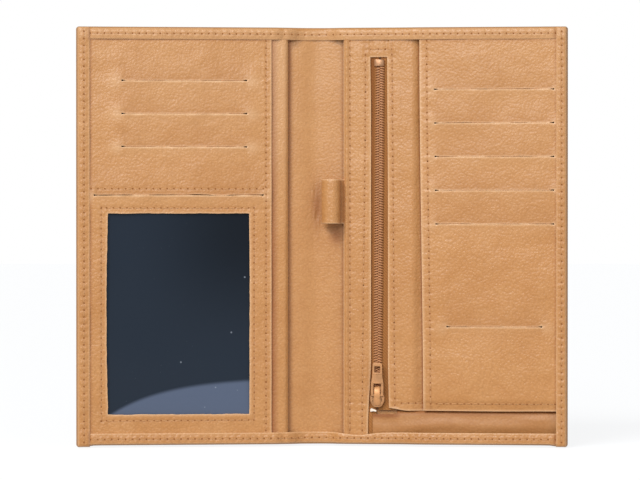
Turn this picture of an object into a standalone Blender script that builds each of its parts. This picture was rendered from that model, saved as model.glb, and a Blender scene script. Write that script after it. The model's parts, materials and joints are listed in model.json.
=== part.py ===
"""Long leather wallet standing open like a book, built as separate sewn layers.

Each half is drawn flat, with its back at y = 0, its layers going towards -Y and
its bottom edge at z = 0.  Two empties on the fold line then turn the halves
towards the reader.  Sizes are in metres.
"""
import math

import bmesh
import bpy

# overall
HALF_WIDTH = 0.117
HEIGHT = 0.200
OPEN_SHORT_OF_FLAT = math.radians(11.0)
GAP = 0.0003

# leather and board thicknesses
COVER_THICK = 0.0012
BOARD_THICK = 0.0005
LINING_THICK = 0.0004
BILL_THICK = 0.0016
POCKET_THICK = 0.0004
FILM_THICK = 0.0002
PANEL_THICK = 0.0009
POUCH_THICK = 0.0009
GUSSET_THICK = 0.0009

# turned edges of the cover
HEM_SIDE_LEFT = 0.0064
HEM_SIDE_RIGHT = 0.0055
HEM_TOP = 0.0060
HEM_BOTTOM = 0.0066
HEM_THICK = 0.0009

# spine
SPINE_HALF = 0.013
SPINE_STEPS = 10

# left half
BILL_EDGE_FROM_FOLD = 0.0157
PANEL_EDGE_FROM_FOLD = 0.0240
LEFT_SLIT_COUNT = 3
LEFT_SLIT_DOWN = 0.0256
LEFT_SLIT_PITCH = 0.01575
LEFT_SLIT_MARGIN_OUTER = 0.0150
LEFT_SLIT_MARGIN_INNER = 0.0117
WIDE_SLIT_DROP = 0.0230
WIDE_SLIT_MARGIN_OUTER = 0.0018
WIDE_SLIT_MARGIN_INNER = 0.0038
WINDOW_DROP = 0.0088
WINDOW_MARGIN_OUTER = 0.0086
WINDOW_MARGIN_INNER = 0.0107
WINDOW_MARGIN_BOTTOM = 0.0089
WINDOW_LAP = 0.0035

# right half
POUCH_EDGE_FROM_FOLD = 0.0100
CARD_PANEL_FROM_FOLD = 0.0471
POUCH_BOTTOM_UP = 0.0171
RIGHT_SLIT_COUNT = 5
RIGHT_SLIT_DOWN = 0.0297
RIGHT_SLIT_PITCH = 0.01605
RIGHT_SLIT_MARGIN_INNER = 0.0068
RIGHT_SLIT_MARGIN_OUTER = 0.0009
SMALL_SLIT_DROP = 0.0490
SMALL_SLIT_EXTRA_INNER = 0.0054
SMALL_SLIT_EXTRA_OUTER = 0.0056

# slits
SLIT_WIDTH = 0.0008
PUNCH_RADIUS = 0.0008
PUNCH_STEPS = 8
POCKET_RISE = 0.0030
POCKET_SIDE = 0.0010

# zip
ZIP_FROM_FOLD = 0.0261
ZIP_LEAN = math.radians(0.43)
ZIP_SLOT_TOP_DOWN = 0.0142
TAPE_THICK = 0.0003
TAPE_WIDTH = 0.0068
TAPE_INNER = 0.0012
COIL_HALF = 0.0021
COIL_THICK = 0.0013
COIL_SPLIT = 0.00015
STOP_HEIGHT = 0.0031

# slider and pull tab
SLIDER_LENGTH = 0.0112
SLIDER_PLATE = 0.0006
SLIDER_WALL = 0.0010
SLIDER_NOSE_WALL = 0.0004
SLIDER_UP = 0.0186
SLIDER_CLEAR = 0.0002
SLIDER_SIDE_CLEAR = 0.0004
SLOT_CLEAR = 0.0005
WEDGE_HEIGHT = 0.0036
BRIDGE_HALF = 0.0014
BRIDGE_INSET = 0.0015
BRIDGE_LEG = 0.0013
BRIDGE_THICK = 0.0005
TAB_THICK = 0.0009
TAB_LENGTH = 0.0156
TAB_ARM = 0.0013
TAB_EYE_HALF = 0.0014
TAB_EYE_ARM = 0.0009
TAB_SLOT_CLEAR = 0.0003
TAB_SLOT_REACH = 0.0015
TAB_CLEAR = 0.00015

# pen loop
LOOP_RADIUS = 0.0053
LOOP_WALL = 0.0011
LOOP_HEIGHT = 0.0211
LOOP_UP = 0.1063
LOOP_TAIL = 0.0070
LOOP_STEPS = 28

# slider sizes that follow the coil it runs on
SLIDER_HALF = COIL_HALF + SLIDER_SIDE_CLEAR + SLIDER_WALL
SLIDER_NOSE_HALF = COIL_HALF + SLIDER_CLEAR + SLIDER_NOSE_WALL
ZIP_SLOT_HALF = SLIDER_HALF + SLOT_CLEAR
BRIDGE_REACH = SLIDER_LENGTH / 2 - BRIDGE_INSET
TAB_SLOT_HALF = BRIDGE_HALF + TAB_SLOT_CLEAR
TAB_HALF = TAB_SLOT_HALF + TAB_ARM
TAB_TOP_HALF = TAB_EYE_HALF + TAB_EYE_ARM
TAB_SLOT_LENGTH = BRIDGE_REACH + TAB_SLOT_REACH

# layers of the left half, counted forward from the back of the cover
BOARD_Y = COVER_THICK + GAP
LINING_Y = BOARD_Y + BOARD_THICK + GAP
BILL_Y = LINING_Y + LINING_THICK + GAP
LEAF_Y = BILL_Y + BILL_THICK + GAP
FILM_Y = LEAF_Y + POCKET_THICK + GAP

# layers of the right half
SLIDER_Y = LINING_Y + LINING_THICK + GAP
TAPE_Y = SLIDER_Y + SLIDER_PLATE + SLIDER_CLEAR
COIL_Y = TAPE_Y + TAPE_THICK + SLIDER_CLEAR
SLIDER_FRONT_Y = COIL_Y + COIL_THICK + SLIDER_CLEAR
SLIDER_TOP_Y = SLIDER_FRONT_Y + SLIDER_PLATE
POUCH_Y = TAPE_Y + TAPE_THICK + GAP + 0.0001
RIGHT_LEAF_Y = POUCH_Y + POUCH_THICK + GAP
PANEL_Y = max(RIGHT_LEAF_Y + POCKET_THICK, FILM_Y + FILM_THICK) + GAP
HEM_Y = PANEL_Y + PANEL_THICK + GAP
STACK = HEM_Y + HEM_THICK

# the fold line, in front of the cover's back so the closed halves and the pen loop just clear
CLOSED_CLEAR = 0.0006
LOOP_ROOM = SLIDER_Y + 2 * LOOP_RADIUS + LINING_Y + LINING_THICK
FOLD_Y = max(2 * STACK, LOOP_ROOM) / 2 + CLOSED_CLEAR / 2
HALF_OPEN = OPEN_SHORT_OF_FLAT / 2
FRONT_REACH = FOLD_Y + HALF_WIDTH * math.sin(HALF_OPEN) - (FOLD_Y - STACK) * math.cos(HALF_OPEN)
FRAME_Y = FRONT_REACH / 2

# panel corners shared by several pieces
WALL = COVER_THICK + GAP
LEFT_IN = -HALF_WIDTH + WALL
RIGHT_IN = HALF_WIDTH - WALL
LOW_IN = WALL
HIGH_IN = HEIGHT - WALL
HEM_LEFT_X = -HALF_WIDTH + HEM_SIDE_LEFT
HEM_RIGHT_X = HALF_WIDTH - HEM_SIDE_RIGHT
PANEL_EDGE_X = -PANEL_EDGE_FROM_FOLD
WIDE_SLIT_Z = HEIGHT - LEFT_SLIT_DOWN - (LEFT_SLIT_COUNT - 1) * LEFT_SLIT_PITCH - WIDE_SLIT_DROP
WINDOW_TOP = WIDE_SLIT_Z - WINDOW_DROP
WINDOW_LOW = HEM_BOTTOM + WINDOW_MARGIN_BOTTOM
WINDOW_LEFT = HEM_LEFT_X + WINDOW_MARGIN_OUTER
WINDOW_RIGHT = PANEL_EDGE_X - WINDOW_MARGIN_INNER
RIGHT_SLIT_LOW = HEIGHT - RIGHT_SLIT_DOWN - (RIGHT_SLIT_COUNT - 1) * RIGHT_SLIT_PITCH
SMALL_SLIT_Z = RIGHT_SLIT_LOW - SMALL_SLIT_DROP
ZIP_TOP = HEIGHT - ZIP_SLOT_TOP_DOWN
TAB_PIVOT_Z = SLIDER_UP + SLIDER_LENGTH / 2
TAB_PIVOT_Y = SLIDER_TOP_Y + TAB_CLEAR + TAB_THICK / 2
COIL_LOW = SLIDER_UP + WEDGE_HEIGHT + 0.0004
STOP_LOW_Z = ZIP_TOP - 0.0011 - STOP_HEIGHT


def clear_scene():
    """Remove whatever the file holds."""
    for item in list(bpy.data.objects):
        bpy.data.objects.remove(item)


def collection(name):
    """Make a collection under the scene."""
    made = bpy.data.collections.new(name)
    bpy.context.scene.collection.children.link(made)
    return made


def material(name, colour, roughness, metallic=0.0):
    """One plain Principled material."""
    made = bpy.data.materials.new(name)
    made.use_nodes = True
    shader = made.node_tree.nodes["Principled BSDF"]
    shader.inputs["Base Color"].default_value = (*colour, 1.0)
    shader.inputs["Roughness"].default_value = roughness
    shader.inputs["Metallic"].default_value = metallic
    return made


class Maker:
    """Places named pieces in the flat frame of one half."""

    def __init__(self, parts, cutters):
        self.parts = parts
        self.cutters = cutters
        self.left = self.turn("left_turn", HALF_OPEN)
        self.right = self.turn("right_turn", -HALF_OPEN)
        self.zip_line = self.empty("zip_line", self.right, (ZIP_FROM_FOLD, FOLD_Y, 0.0))
        self.zip_line.rotation_euler.y = ZIP_LEAN

    def empty(self, name, parent, location):
        made = bpy.data.objects.new(name, None)
        made.empty_display_size = 0.01
        made.location = location
        made.parent = parent
        self.parts.objects.link(made)
        return made

    def turn(self, name, angle):
        made = self.empty(name, None, (0.0, FRAME_Y - FOLD_Y, 0.0))
        made.rotation_euler.z = angle
        return made

    def place(self, made, parent, skin, cutter=False):
        """Link an object, give it its material and seat it on its half."""
        made.parent = parent
        if parent in (self.left, self.right):
            made.location.y += FOLD_Y
        if skin:
            made.data.materials.append(skin)
        if cutter:
            made.hide_render = True
            made.display_type = "WIRE"
        home = self.cutters if cutter else self.parts
        home.objects.link(made)
        return made

    def block(self, name, low, high, parent, skin, cutter=False):
        """A box between two corners; y counts forward from the cover's back."""
        shape = bmesh.new()
        bmesh.ops.create_cube(shape, size=1.0)
        for corner in shape.verts:
            corner.co.x = low[0] if corner.co.x < 0 else high[0]
            corner.co.y = -high[1] if corner.co.y < 0 else -low[1]
            corner.co.z = low[2] if corner.co.z < 0 else high[2]
        mesh = bpy.data.meshes.new(name)
        shape.to_mesh(mesh)
        shape.free()
        return self.place(bpy.data.objects.new(name, mesh), parent, skin, cutter)

    def plate(self, name, outlines, near, thick, parent, skin):
        """A flat sheet cut from outlines of (x, z) points, the first one its edge."""
        curve = bpy.data.curves.new(name, "CURVE")
        curve.dimensions = "2D"
        curve.fill_mode = "BOTH"
        curve.extrude = thick / 2
        for outline in outlines:
            spline = curve.splines.new("POLY")
            spline.points.add(len(outline) - 1)
            for point, (across, up) in zip(spline.points, outline):
                point.co = (across, up, 0.0, 1.0)
            spline.use_cyclic_u = True
        made = bpy.data.objects.new(name, curve)
        made.rotation_euler.x = math.pi / 2
        made.location.y = -(near + thick / 2)
        return self.place(made, parent, skin)

    def upright(self, name, outlines, low, high, parent, skin):
        """A shape cut from outlines of (x, y) points and raised from low to high."""
        curve = bpy.data.curves.new(name, "CURVE")
        curve.dimensions = "2D"
        curve.fill_mode = "BOTH"
        curve.extrude = (high - low) / 2
        for outline in outlines:
            spline = curve.splines.new("POLY")
            spline.points.add(len(outline) - 1)
            for point, (across, depth) in zip(spline.points, outline):
                point.co = (across, -depth, 0.0, 1.0)
            spline.use_cyclic_u = True
        made = bpy.data.objects.new(name, curve)
        made.location.z = (low + high) / 2
        return self.place(made, parent, skin)

    def cut(self, target, tools, join=False):
        """Boolean difference, or union, with each tool in turn."""
        for tool in tools:
            step = target.modifiers.new(tool.name, "BOOLEAN")
            step.operation = "UNION" if join else "DIFFERENCE"
            step.solver = "EXACT"
            step.object = tool


def rectangle(x0, x1, z0, z1):
    """Corners of a rectangle, anticlockwise."""
    return [(x0, z0), (x1, z0), (x1, z1), (x0, z1)]


def slit(x0, x1, z):
    """A card slit with a punched hole at each end."""
    points = []
    half = SLIT_WIDTH / 2
    neck = math.asin(half / PUNCH_RADIUS)
    for centre, start in ((x1 - PUNCH_RADIUS, math.pi), (x0 + PUNCH_RADIUS, 0.0)):
        for step in range(PUNCH_STEPS + 1):
            angle = start + neck + (2 * math.pi - 2 * neck) * step / PUNCH_STEPS
            across = centre + PUNCH_RADIUS * math.cos(angle)
            points.append((across, z + PUNCH_RADIUS * math.sin(angle)))
    return points


def bend_weight(x):
    """0 on the left half, 1 on the right half, eased across the spine."""
    share = min(1.0, max(0.0, (x + SPINE_HALF) / (2 * SPINE_HALF)))
    return share * share * (3 - 2 * share)


def spine_piece(maker, name, profile, skin):
    """Run a closed (y, z) profile across the spine, bent as the halves are turned."""
    shape = bmesh.new()
    rings = []
    for step in range(SPINE_STEPS + 1):
        x = -SPINE_HALF + 2 * SPINE_HALF * step / SPINE_STEPS
        angle = HALF_OPEN * (1 - 2 * bend_weight(x))
        ring = []
        for depth, up in profile:
            away = FOLD_Y - depth
            across = x * math.cos(angle) - away * math.sin(angle)
            back = x * math.sin(angle) + away * math.cos(angle)
            ring.append(shape.verts.new((across, FRAME_Y - FOLD_Y + back, up)))
        rings.append(ring)
    count = len(profile)
    for near, far in zip(rings, rings[1:]):
        for i in range(count):
            j = (i + 1) % count
            shape.faces.new((near[i], near[j], far[j], far[i]))
    shape.faces.new(rings[0])
    shape.faces.new(rings[-1])
    bmesh.ops.recalc_face_normals(shape, faces=shape.faces)
    mesh = bpy.data.meshes.new(name)
    shape.to_mesh(mesh)
    shape.free()
    return maker.place(bpy.data.objects.new(name, mesh), None, skin)


def cover_half(maker, name, outer_x, hem_x, parent, skin):
    """One half of the cover with its edges turned in over the layers."""
    side = math.copysign(1.0, outer_x)
    inner_x = side * (SPINE_HALF + GAP)
    wall_x = outer_x - side * COVER_THICK
    past_x = inner_x - side * 0.005

    def span(a, b):
        return min(a, b), max(a, b)

    x0, x1 = span(outer_x, inner_x)
    made = maker.block(name, (x0, 0.0, 0.0), (x1, STACK, HEIGHT), parent, skin)
    x0, x1 = span(wall_x, past_x)
    room = maker.block(name + "_room", (x0, COVER_THICK, COVER_THICK),
                       (x1, HEM_Y, HEIGHT - COVER_THICK), parent, None, cutter=True)
    x0, x1 = span(hem_x, past_x)
    mouth = maker.block(name + "_mouth", (x0, HEM_Y - 0.001, HEM_BOTTOM),
                        (x1, STACK + 0.005, HEIGHT - HEM_TOP), parent, None, cutter=True)
    maker.cut(made, (room, mouth))


def covers(maker):
    """Outer leather: two halves and the strip over the spine."""
    leather = material("cover_leather", (0.62, 0.33, 0.14), 0.5)
    cover_half(maker, "cover_left", -HALF_WIDTH, HEM_LEFT_X, maker.left, leather)
    cover_half(maker, "cover_right", HALF_WIDTH, HEM_RIGHT_X, maker.right, leather)
    profile = [(0.0, 0.0), (STACK, 0.0), (STACK, HEM_BOTTOM), (HEM_Y, HEM_BOTTOM),
               (HEM_Y, COVER_THICK), (COVER_THICK, COVER_THICK),
               (COVER_THICK, HEIGHT - COVER_THICK), (HEM_Y, HEIGHT - COVER_THICK),
               (HEM_Y, HEIGHT - HEM_TOP), (STACK, HEIGHT - HEM_TOP),
               (STACK, HEIGHT), (0.0, HEIGHT)]
    spine_piece(maker, "spine_cover", profile, leather)


def boards_and_linings(maker):
    """Stiffening boards and the lining that runs across the inside."""
    board = material("stiffening_board", (0.25, 0.22, 0.19), 0.9)
    lining = material("lining_leather", (0.60, 0.32, 0.13), 0.6)
    edge = SPINE_HALF + GAP
    for side, parent, x0, x1 in (("left", maker.left, LEFT_IN, -edge),
                                 ("right", maker.right, edge, RIGHT_IN)):
        maker.plate("stiffener_" + side, [rectangle(x0, x1, LOW_IN, HIGH_IN)],
                    BOARD_Y, BOARD_THICK, parent, board)
        maker.plate("lining_" + side, [rectangle(x0, x1, LOW_IN, HIGH_IN)],
                    LINING_Y, LINING_THICK, parent, lining)
    front = LINING_Y + LINING_THICK
    profile = [(LINING_Y, LOW_IN), (front, LOW_IN), (front, HIGH_IN), (LINING_Y, HIGH_IN)]
    spine_piece(maker, "spine_lining", profile, lining)


def pocket_leaves(maker, prefix, tops, x0, x1, low, near, parent, cloth):
    """The cloth behind each slit, down to where the next one starts."""
    ends = [top + POCKET_RISE + GAP for top in tops[1:]] + [low]
    for number, (top, end) in enumerate(zip(tops, ends), start=1):
        maker.plate("%s_%d" % (prefix, number), [rectangle(x0, x1, end, top + POCKET_RISE)],
                    near, POCKET_THICK, parent, cloth)


def left_slit_heights():
    """Heights of the short slits on the left."""
    first = HEIGHT - LEFT_SLIT_DOWN
    return [first - i * LEFT_SLIT_PITCH for i in range(LEFT_SLIT_COUNT)]


def right_slit_heights():
    """Heights of the card slits on the right."""
    first = HEIGHT - RIGHT_SLIT_DOWN
    return [first - i * RIGHT_SLIT_PITCH for i in range(RIGHT_SLIT_COUNT)]


def left_pockets(maker):
    """Banknote pocket, card slits and the window pocket of the left half."""
    leather = material("left_panel_leather", (0.63, 0.34, 0.15), 0.5)
    edge = material("bill_pocket_leather", (0.60, 0.32, 0.13), 0.5)
    cloth = material("pocket_cloth_left", (0.35, 0.2, 0.1), 0.9)
    navy = material("window_backing_cloth", (0.02, 0.03, 0.05), 0.8)
    clear = material("window_film", (0.05, 0.06, 0.08), 0.15)
    maker.plate("bill_pocket_front",
                [rectangle(LEFT_IN, -BILL_EDGE_FROM_FOLD, LOW_IN, HIGH_IN)],
                BILL_Y, BILL_THICK, maker.left, edge)
    x0 = HEM_LEFT_X + LEFT_SLIT_MARGIN_OUTER
    x1 = PANEL_EDGE_X - LEFT_SLIT_MARGIN_INNER
    cuts = [slit(x0, x1, z) for z in left_slit_heights()]
    cuts.append(slit(HEM_LEFT_X + WIDE_SLIT_MARGIN_OUTER,
                     PANEL_EDGE_X - WIDE_SLIT_MARGIN_INNER, WIDE_SLIT_Z))
    cuts.append(rectangle(WINDOW_LEFT, WINDOW_RIGHT, WINDOW_LOW, WINDOW_TOP))
    maker.plate("card_window_panel",
                [rectangle(LEFT_IN, PANEL_EDGE_X, LOW_IN, HIGH_IN)] + cuts,
                PANEL_Y, PANEL_THICK, maker.left, leather)
    pocket_leaves(maker, "card_pocket_left", left_slit_heights(), x0 - POCKET_SIDE,
                  x1 + POCKET_SIDE, WIDE_SLIT_Z + POCKET_RISE + GAP, LEAF_Y, maker.left, cloth)
    maker.plate("window_pocket_back",
                [rectangle(LEFT_IN, PANEL_EDGE_X - POCKET_SIDE, LOW_IN, WIDE_SLIT_Z + POCKET_RISE)],
                LEAF_Y, POCKET_THICK, maker.left, navy)
    film = rectangle(WINDOW_LEFT - WINDOW_LAP, WINDOW_RIGHT + WINDOW_LAP,
                     WINDOW_LOW - WINDOW_LAP, WINDOW_TOP + WINDOW_LAP)
    maker.plate("window_film", [film], FILM_Y, FILM_THICK, maker.left, clear)


def pouch_outline():
    """Edge of the zipped pouch front, with the zip slot open at its bottom."""

    def zip_x(up, side):
        return ZIP_FROM_FOLD + up * math.tan(ZIP_LEAN) + side * ZIP_SLOT_HALF

    strip_x = POUCH_EDGE_FROM_FOLD
    return [(strip_x, LOW_IN), (zip_x(LOW_IN, -1), LOW_IN), (zip_x(ZIP_TOP, -1), ZIP_TOP),
            (zip_x(ZIP_TOP, 1), ZIP_TOP), (zip_x(POUCH_BOTTOM_UP, 1), POUCH_BOTTOM_UP + 0.0014),
            (CARD_PANEL_FROM_FOLD - 0.006, POUCH_BOTTOM_UP - 0.0002),
            (RIGHT_IN, POUCH_BOTTOM_UP - 0.0002), (RIGHT_IN, HIGH_IN), (strip_x, HIGH_IN)]


def right_pockets(maker):
    """Pouch front, card panel with its pockets, and the pouch's folded bottom."""
    leather = material("right_panel_leather", (0.63, 0.34, 0.15), 0.5)
    pouch = material("pouch_leather", (0.61, 0.33, 0.14), 0.5)
    fold = material("gusset_leather", (0.55, 0.27, 0.10), 0.6)
    cloth = material("pocket_cloth_right", (0.35, 0.2, 0.1), 0.9)
    maker.plate("pouch_front", [pouch_outline()], POUCH_Y, POUCH_THICK, maker.right, pouch)
    gusset_x = ZIP_FROM_FOLD + TAPE_INNER + TAPE_WIDTH + 5 * GAP
    maker.plate("pouch_gusset",
                [rectangle(gusset_x, RIGHT_IN, HEM_BOTTOM + 0.0012, POUCH_BOTTOM_UP + 0.005)],
                SLIDER_Y, GUSSET_THICK, maker.right, fold)
    x0 = CARD_PANEL_FROM_FOLD + RIGHT_SLIT_MARGIN_INNER
    x1 = HEM_RIGHT_X - RIGHT_SLIT_MARGIN_OUTER
    small_x0 = x0 + SMALL_SLIT_EXTRA_INNER
    small_x1 = x1 - SMALL_SLIT_EXTRA_OUTER
    cuts = [slit(x0, x1, z) for z in right_slit_heights()]
    cuts.append(slit(small_x0, small_x1, SMALL_SLIT_Z))
    maker.plate("card_panel_right",
                [rectangle(CARD_PANEL_FROM_FOLD, RIGHT_IN, POUCH_BOTTOM_UP, HIGH_IN)] + cuts,
                PANEL_Y, PANEL_THICK, maker.right, leather)
    pocket_leaves(maker, "card_pocket_right", right_slit_heights(), x0 - POCKET_SIDE,
                  x1 + POCKET_SIDE, SMALL_SLIT_Z + POCKET_RISE + GAP, RIGHT_LEAF_Y,
                  maker.right, cloth)
    pocket_leaves(maker, "small_pocket_right", [SMALL_SLIT_Z], small_x0 - POCKET_SIDE,
                  small_x1 + POCKET_SIDE, POUCH_BOTTOM_UP + 0.005, RIGHT_LEAF_Y,
                  maker.right, cloth)


def pen_loop(maker):
    """A leather tube for a pen, with a flat tail sewn under the pouch strip."""
    skin = material("pen_loop_leather", (0.62, 0.33, 0.14), 0.5)
    centre_x = POUCH_EDGE_FROM_FOLD + GAP - LOOP_RADIUS
    centre_y = SLIDER_Y + LOOP_RADIUS
    tail_near = SLIDER_Y
    tail_far = POUCH_Y - GAP
    leave = math.asin((centre_y - tail_near - 1e-6) / LOOP_RADIUS)
    meet = math.asin((centre_y - tail_far) / LOOP_RADIUS)
    outer = [(centre_x + LOOP_TAIL + LOOP_RADIUS, tail_near),
             (centre_x + LOOP_TAIL + LOOP_RADIUS, tail_far)]
    for step in range(LOOP_STEPS + 1):
        angle = -meet + (math.pi * 2 - leave + meet) * step / LOOP_STEPS
        outer.append((centre_x + LOOP_RADIUS * math.cos(angle),
                      centre_y + LOOP_RADIUS * math.sin(angle)))
    inner = []
    for step in range(LOOP_STEPS):
        angle = 2 * math.pi * step / LOOP_STEPS
        inner.append((centre_x + (LOOP_RADIUS - LOOP_WALL) * math.cos(angle),
                      centre_y + (LOOP_RADIUS - LOOP_WALL) * math.sin(angle)))
    maker.upright("pen_loop", [outer, inner], LOOP_UP, LOOP_UP + LOOP_HEIGHT, maker.right, skin)


def zip_rows(maker):
    """Two tapes, two rows of coil and the stops at both ends."""
    woven = material("zip_tape", (0.36, 0.17, 0.06), 0.85)
    nylon = material("zip_coil", (0.32, 0.14, 0.05), 0.45)
    metal = material("zip_end_stop", (0.66, 0.42, 0.22), 0.35, 0.6)
    cream = material("zip_start_stop", (0.85, 0.78, 0.68), 0.5)
    tape_top = ZIP_TOP + 0.0012
    for side, sign, low in (("left", -1, LOW_IN + 0.0055), ("right", 1, POUCH_BOTTOM_UP)):
        tape_x = sorted((sign * TAPE_INNER, sign * (TAPE_INNER + TAPE_WIDTH)))
        coil_x = sorted((sign * COIL_SPLIT, sign * COIL_HALF))
        maker.block("zip_tape_" + side, (tape_x[0], TAPE_Y, low),
                    (tape_x[1], TAPE_Y + TAPE_THICK, tape_top), maker.zip_line, woven)
        maker.block("zip_coil_" + side, (coil_x[0], COIL_Y, COIL_LOW),
                    (coil_x[1], COIL_Y + COIL_THICK, STOP_LOW_Z - GAP), maker.zip_line, nylon)
    maker.block("zip_end_stop", (-COIL_HALF, COIL_Y, STOP_LOW_Z),
                (COIL_HALF, COIL_Y + COIL_THICK + 0.0003, STOP_LOW_Z + STOP_HEIGHT),
                maker.zip_line, metal)
    maker.block("zip_start_stop", (-ZIP_SLOT_HALF + GAP, COIL_Y, SLIDER_UP - 0.0026),
                (-GAP, COIL_Y + COIL_THICK, SLIDER_UP - 2 * GAP), maker.zip_line, cream)


def slider_outline():
    """Slider seen from the front: wide shoulders down, narrow nose up."""
    low = SLIDER_UP
    high = SLIDER_UP + SLIDER_LENGTH
    wide = SLIDER_HALF
    nose = SLIDER_NOSE_HALF
    right = [(wide * 0.55, low), (wide * 0.88, low + 0.0008), (wide, low + 0.0022),
             (wide, low + SLIDER_LENGTH * 0.40), (nose, low + SLIDER_LENGTH * 0.67),
             (nose, high - 0.0009), (nose * 0.7, high)]
    left = [(-x, z) for x, z in reversed(right)]
    return right + left


def slider(maker):
    """Slider body with two plates, side walls and the wedge between them."""
    metal = material("slider_paint", (0.60, 0.36, 0.17), 0.35, 0.3)
    body = maker.plate("slider_body", [slider_outline()], SLIDER_Y,
                       SLIDER_TOP_Y - SLIDER_Y, maker.zip_line, metal)
    mesh = bpy.data.meshes.new_from_object(body)
    solid = bpy.data.objects.new("slider_body", mesh)
    shape = bmesh.new()
    shape.from_mesh(mesh)
    bmesh.ops.remove_doubles(shape, verts=shape.verts, dist=1e-6)
    bmesh.ops.recalc_face_normals(shape, faces=shape.faces)
    shape.to_mesh(mesh)
    shape.free()
    solid.rotation_euler = body.rotation_euler
    solid.location = body.location
    bpy.data.objects.remove(body)
    solid.name = "slider_body"
    maker.place(solid, maker.zip_line, None)
    low = SLIDER_UP - 0.002
    high = SLIDER_UP + SLIDER_LENGTH + 0.002
    wedge_top = SLIDER_UP + WEDGE_HEIGHT
    channel = COIL_HALF + SLIDER_SIDE_CLEAR
    nose_channel = COIL_HALF + SLIDER_CLEAR
    tools = []
    tools.append(maker.block("slider_channel", (-nose_channel, SLIDER_Y + SLIDER_PLATE, wedge_top),
                             (nose_channel, SLIDER_FRONT_Y, high), maker.zip_line, None, True))
    for side, sign in (("left", -1), ("right", 1)):
        xs = sorted((sign * (TAPE_INNER - GAP), sign * channel))
        tools.append(maker.block("slider_mouth_" + side, (xs[0], SLIDER_Y + SLIDER_PLATE, low),
                                 (xs[1], SLIDER_FRONT_Y, wedge_top + 0.001),
                                 maker.zip_line, None, True))
        xs = sorted((sign * (TAPE_INNER - GAP), sign * (SLIDER_HALF + 0.002)))
        tools.append(maker.block("slider_tape_way_" + side,
                                 (xs[0], SLIDER_Y + SLIDER_PLATE, low),
                                 (xs[1], COIL_Y, high), maker.zip_line, None, True))
    maker.cut(solid, tools)


def bridge(maker):
    """The strap on the slider's face that holds the pull tab."""
    metal = material("bridge_paint", (0.70, 0.46, 0.25), 0.25, 0.5)
    reach = BRIDGE_REACH
    foot = SLIDER_TOP_Y + 0.0001
    inside = TAB_PIVOT_Y + TAB_THICK / 2 + TAB_CLEAR
    outside = inside + BRIDGE_THICK
    leg = reach - BRIDGE_LEG
    profile = [(-reach, foot), (-leg, foot), (-leg, inside), (leg, inside), (leg, foot),
               (reach, foot), (reach, inside), (reach - 0.0006, outside),
               (-reach + 0.0006, outside), (-reach, inside)]
    curve = bpy.data.curves.new("slider_bridge", "CURVE")
    curve.dimensions = "2D"
    curve.fill_mode = "BOTH"
    curve.extrude = BRIDGE_HALF
    spline = curve.splines.new("POLY")
    spline.points.add(len(profile) - 1)
    for point, (up, depth) in zip(spline.points, profile):
        point.co = (-depth, up, 0.0, 1.0)
    spline.use_cyclic_u = True
    made = bpy.data.objects.new("slider_bridge", curve)
    made.rotation_euler = (math.pi / 2, 0.0, math.pi / 2)
    made.location = (0.0, 0.0, TAB_PIVOT_Z)
    maker.place(made, maker.zip_line, metal)


def pull_tab(maker):
    """Flat tab with a square hole at its tip and a slot that rides the bridge."""
    metal = material("pull_tab_paint", (0.63, 0.38, 0.19), 0.35, 0.3)
    half = TAB_THICK / 2
    tip = TAB_LENGTH
    hole = TAB_EYE_HALF
    edge = [(-TAB_HALF, 0.0), (TAB_HALF, 0.0), (TAB_HALF, 0.0068), (TAB_TOP_HALF + 0.0001, 0.0098),
            (TAB_TOP_HALF, tip - 0.0006), (TAB_TOP_HALF - 0.0006, tip),
            (-TAB_TOP_HALF + 0.0006, tip), (-TAB_TOP_HALF, tip - 0.0006),
            (-TAB_TOP_HALF - 0.0001, 0.0098), (-TAB_HALF, 0.0068)]
    slot = rectangle(-TAB_SLOT_HALF, TAB_SLOT_HALF, half, TAB_SLOT_LENGTH)
    eye = rectangle(-hole, hole, tip - 2 * hole - TAB_EYE_ARM - 0.0006, tip - TAB_EYE_ARM - 0.0006)
    curve = bpy.data.curves.new("pull_tab_plate", "CURVE")
    curve.dimensions = "2D"
    curve.fill_mode = "BOTH"
    curve.extrude = half
    for outline in (edge, slot, eye):
        spline = curve.splines.new("POLY")
        spline.points.add(len(outline) - 1)
        for point, (across, up) in zip(spline.points, outline):
            point.co = (across, up, 0.0, 1.0)
        spline.use_cyclic_u = True
    sketch = bpy.data.objects.new("pull_tab_sketch", curve)
    mesh = bpy.data.meshes.new_from_object(sketch)
    bpy.data.objects.remove(sketch)
    shape = bmesh.new()
    shape.from_mesh(mesh)
    bmesh.ops.remove_doubles(shape, verts=shape.verts, dist=1e-6)
    bmesh.ops.recalc_face_normals(shape, faces=shape.faces)
    shape.to_mesh(mesh)
    shape.free()
    tab = bpy.data.objects.new("pull_tab", mesh)
    place = (0.0, -TAB_PIVOT_Y, TAB_PIVOT_Z)
    tab.rotation_euler.x = math.pi / 2
    tab.location = place
    maker.place(tab, maker.zip_line, metal)
    bpy.ops.mesh.primitive_cylinder_add(vertices=20, radius=half, depth=2 * TAB_HALF)
    bar = bpy.context.object
    bar.name = "pull_tab_bar"
    for home in list(bar.users_collection):
        home.objects.unlink(bar)
    bar.rotation_euler.y = math.pi / 2
    bar.location = place
    maker.place(bar, maker.zip_line, None, cutter=True)
    maker.cut(tab, [bar], join=True)


def main():
    """Build the wallet."""
    clear_scene()
    maker = Maker(collection("long_wallet"), collection("cutters"))
    covers(maker)
    boards_and_linings(maker)
    left_pockets(maker)
    right_pockets(maker)
    pen_loop(maker)
    zip_rows(maker)
    slider(maker)
    bridge(maker)
    pull_tab(maker)


main()
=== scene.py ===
import json
import math
import random

import bmesh
import bpy
from bpy.props import FloatProperty, FloatVectorProperty, PointerProperty
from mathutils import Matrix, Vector, noise


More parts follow.
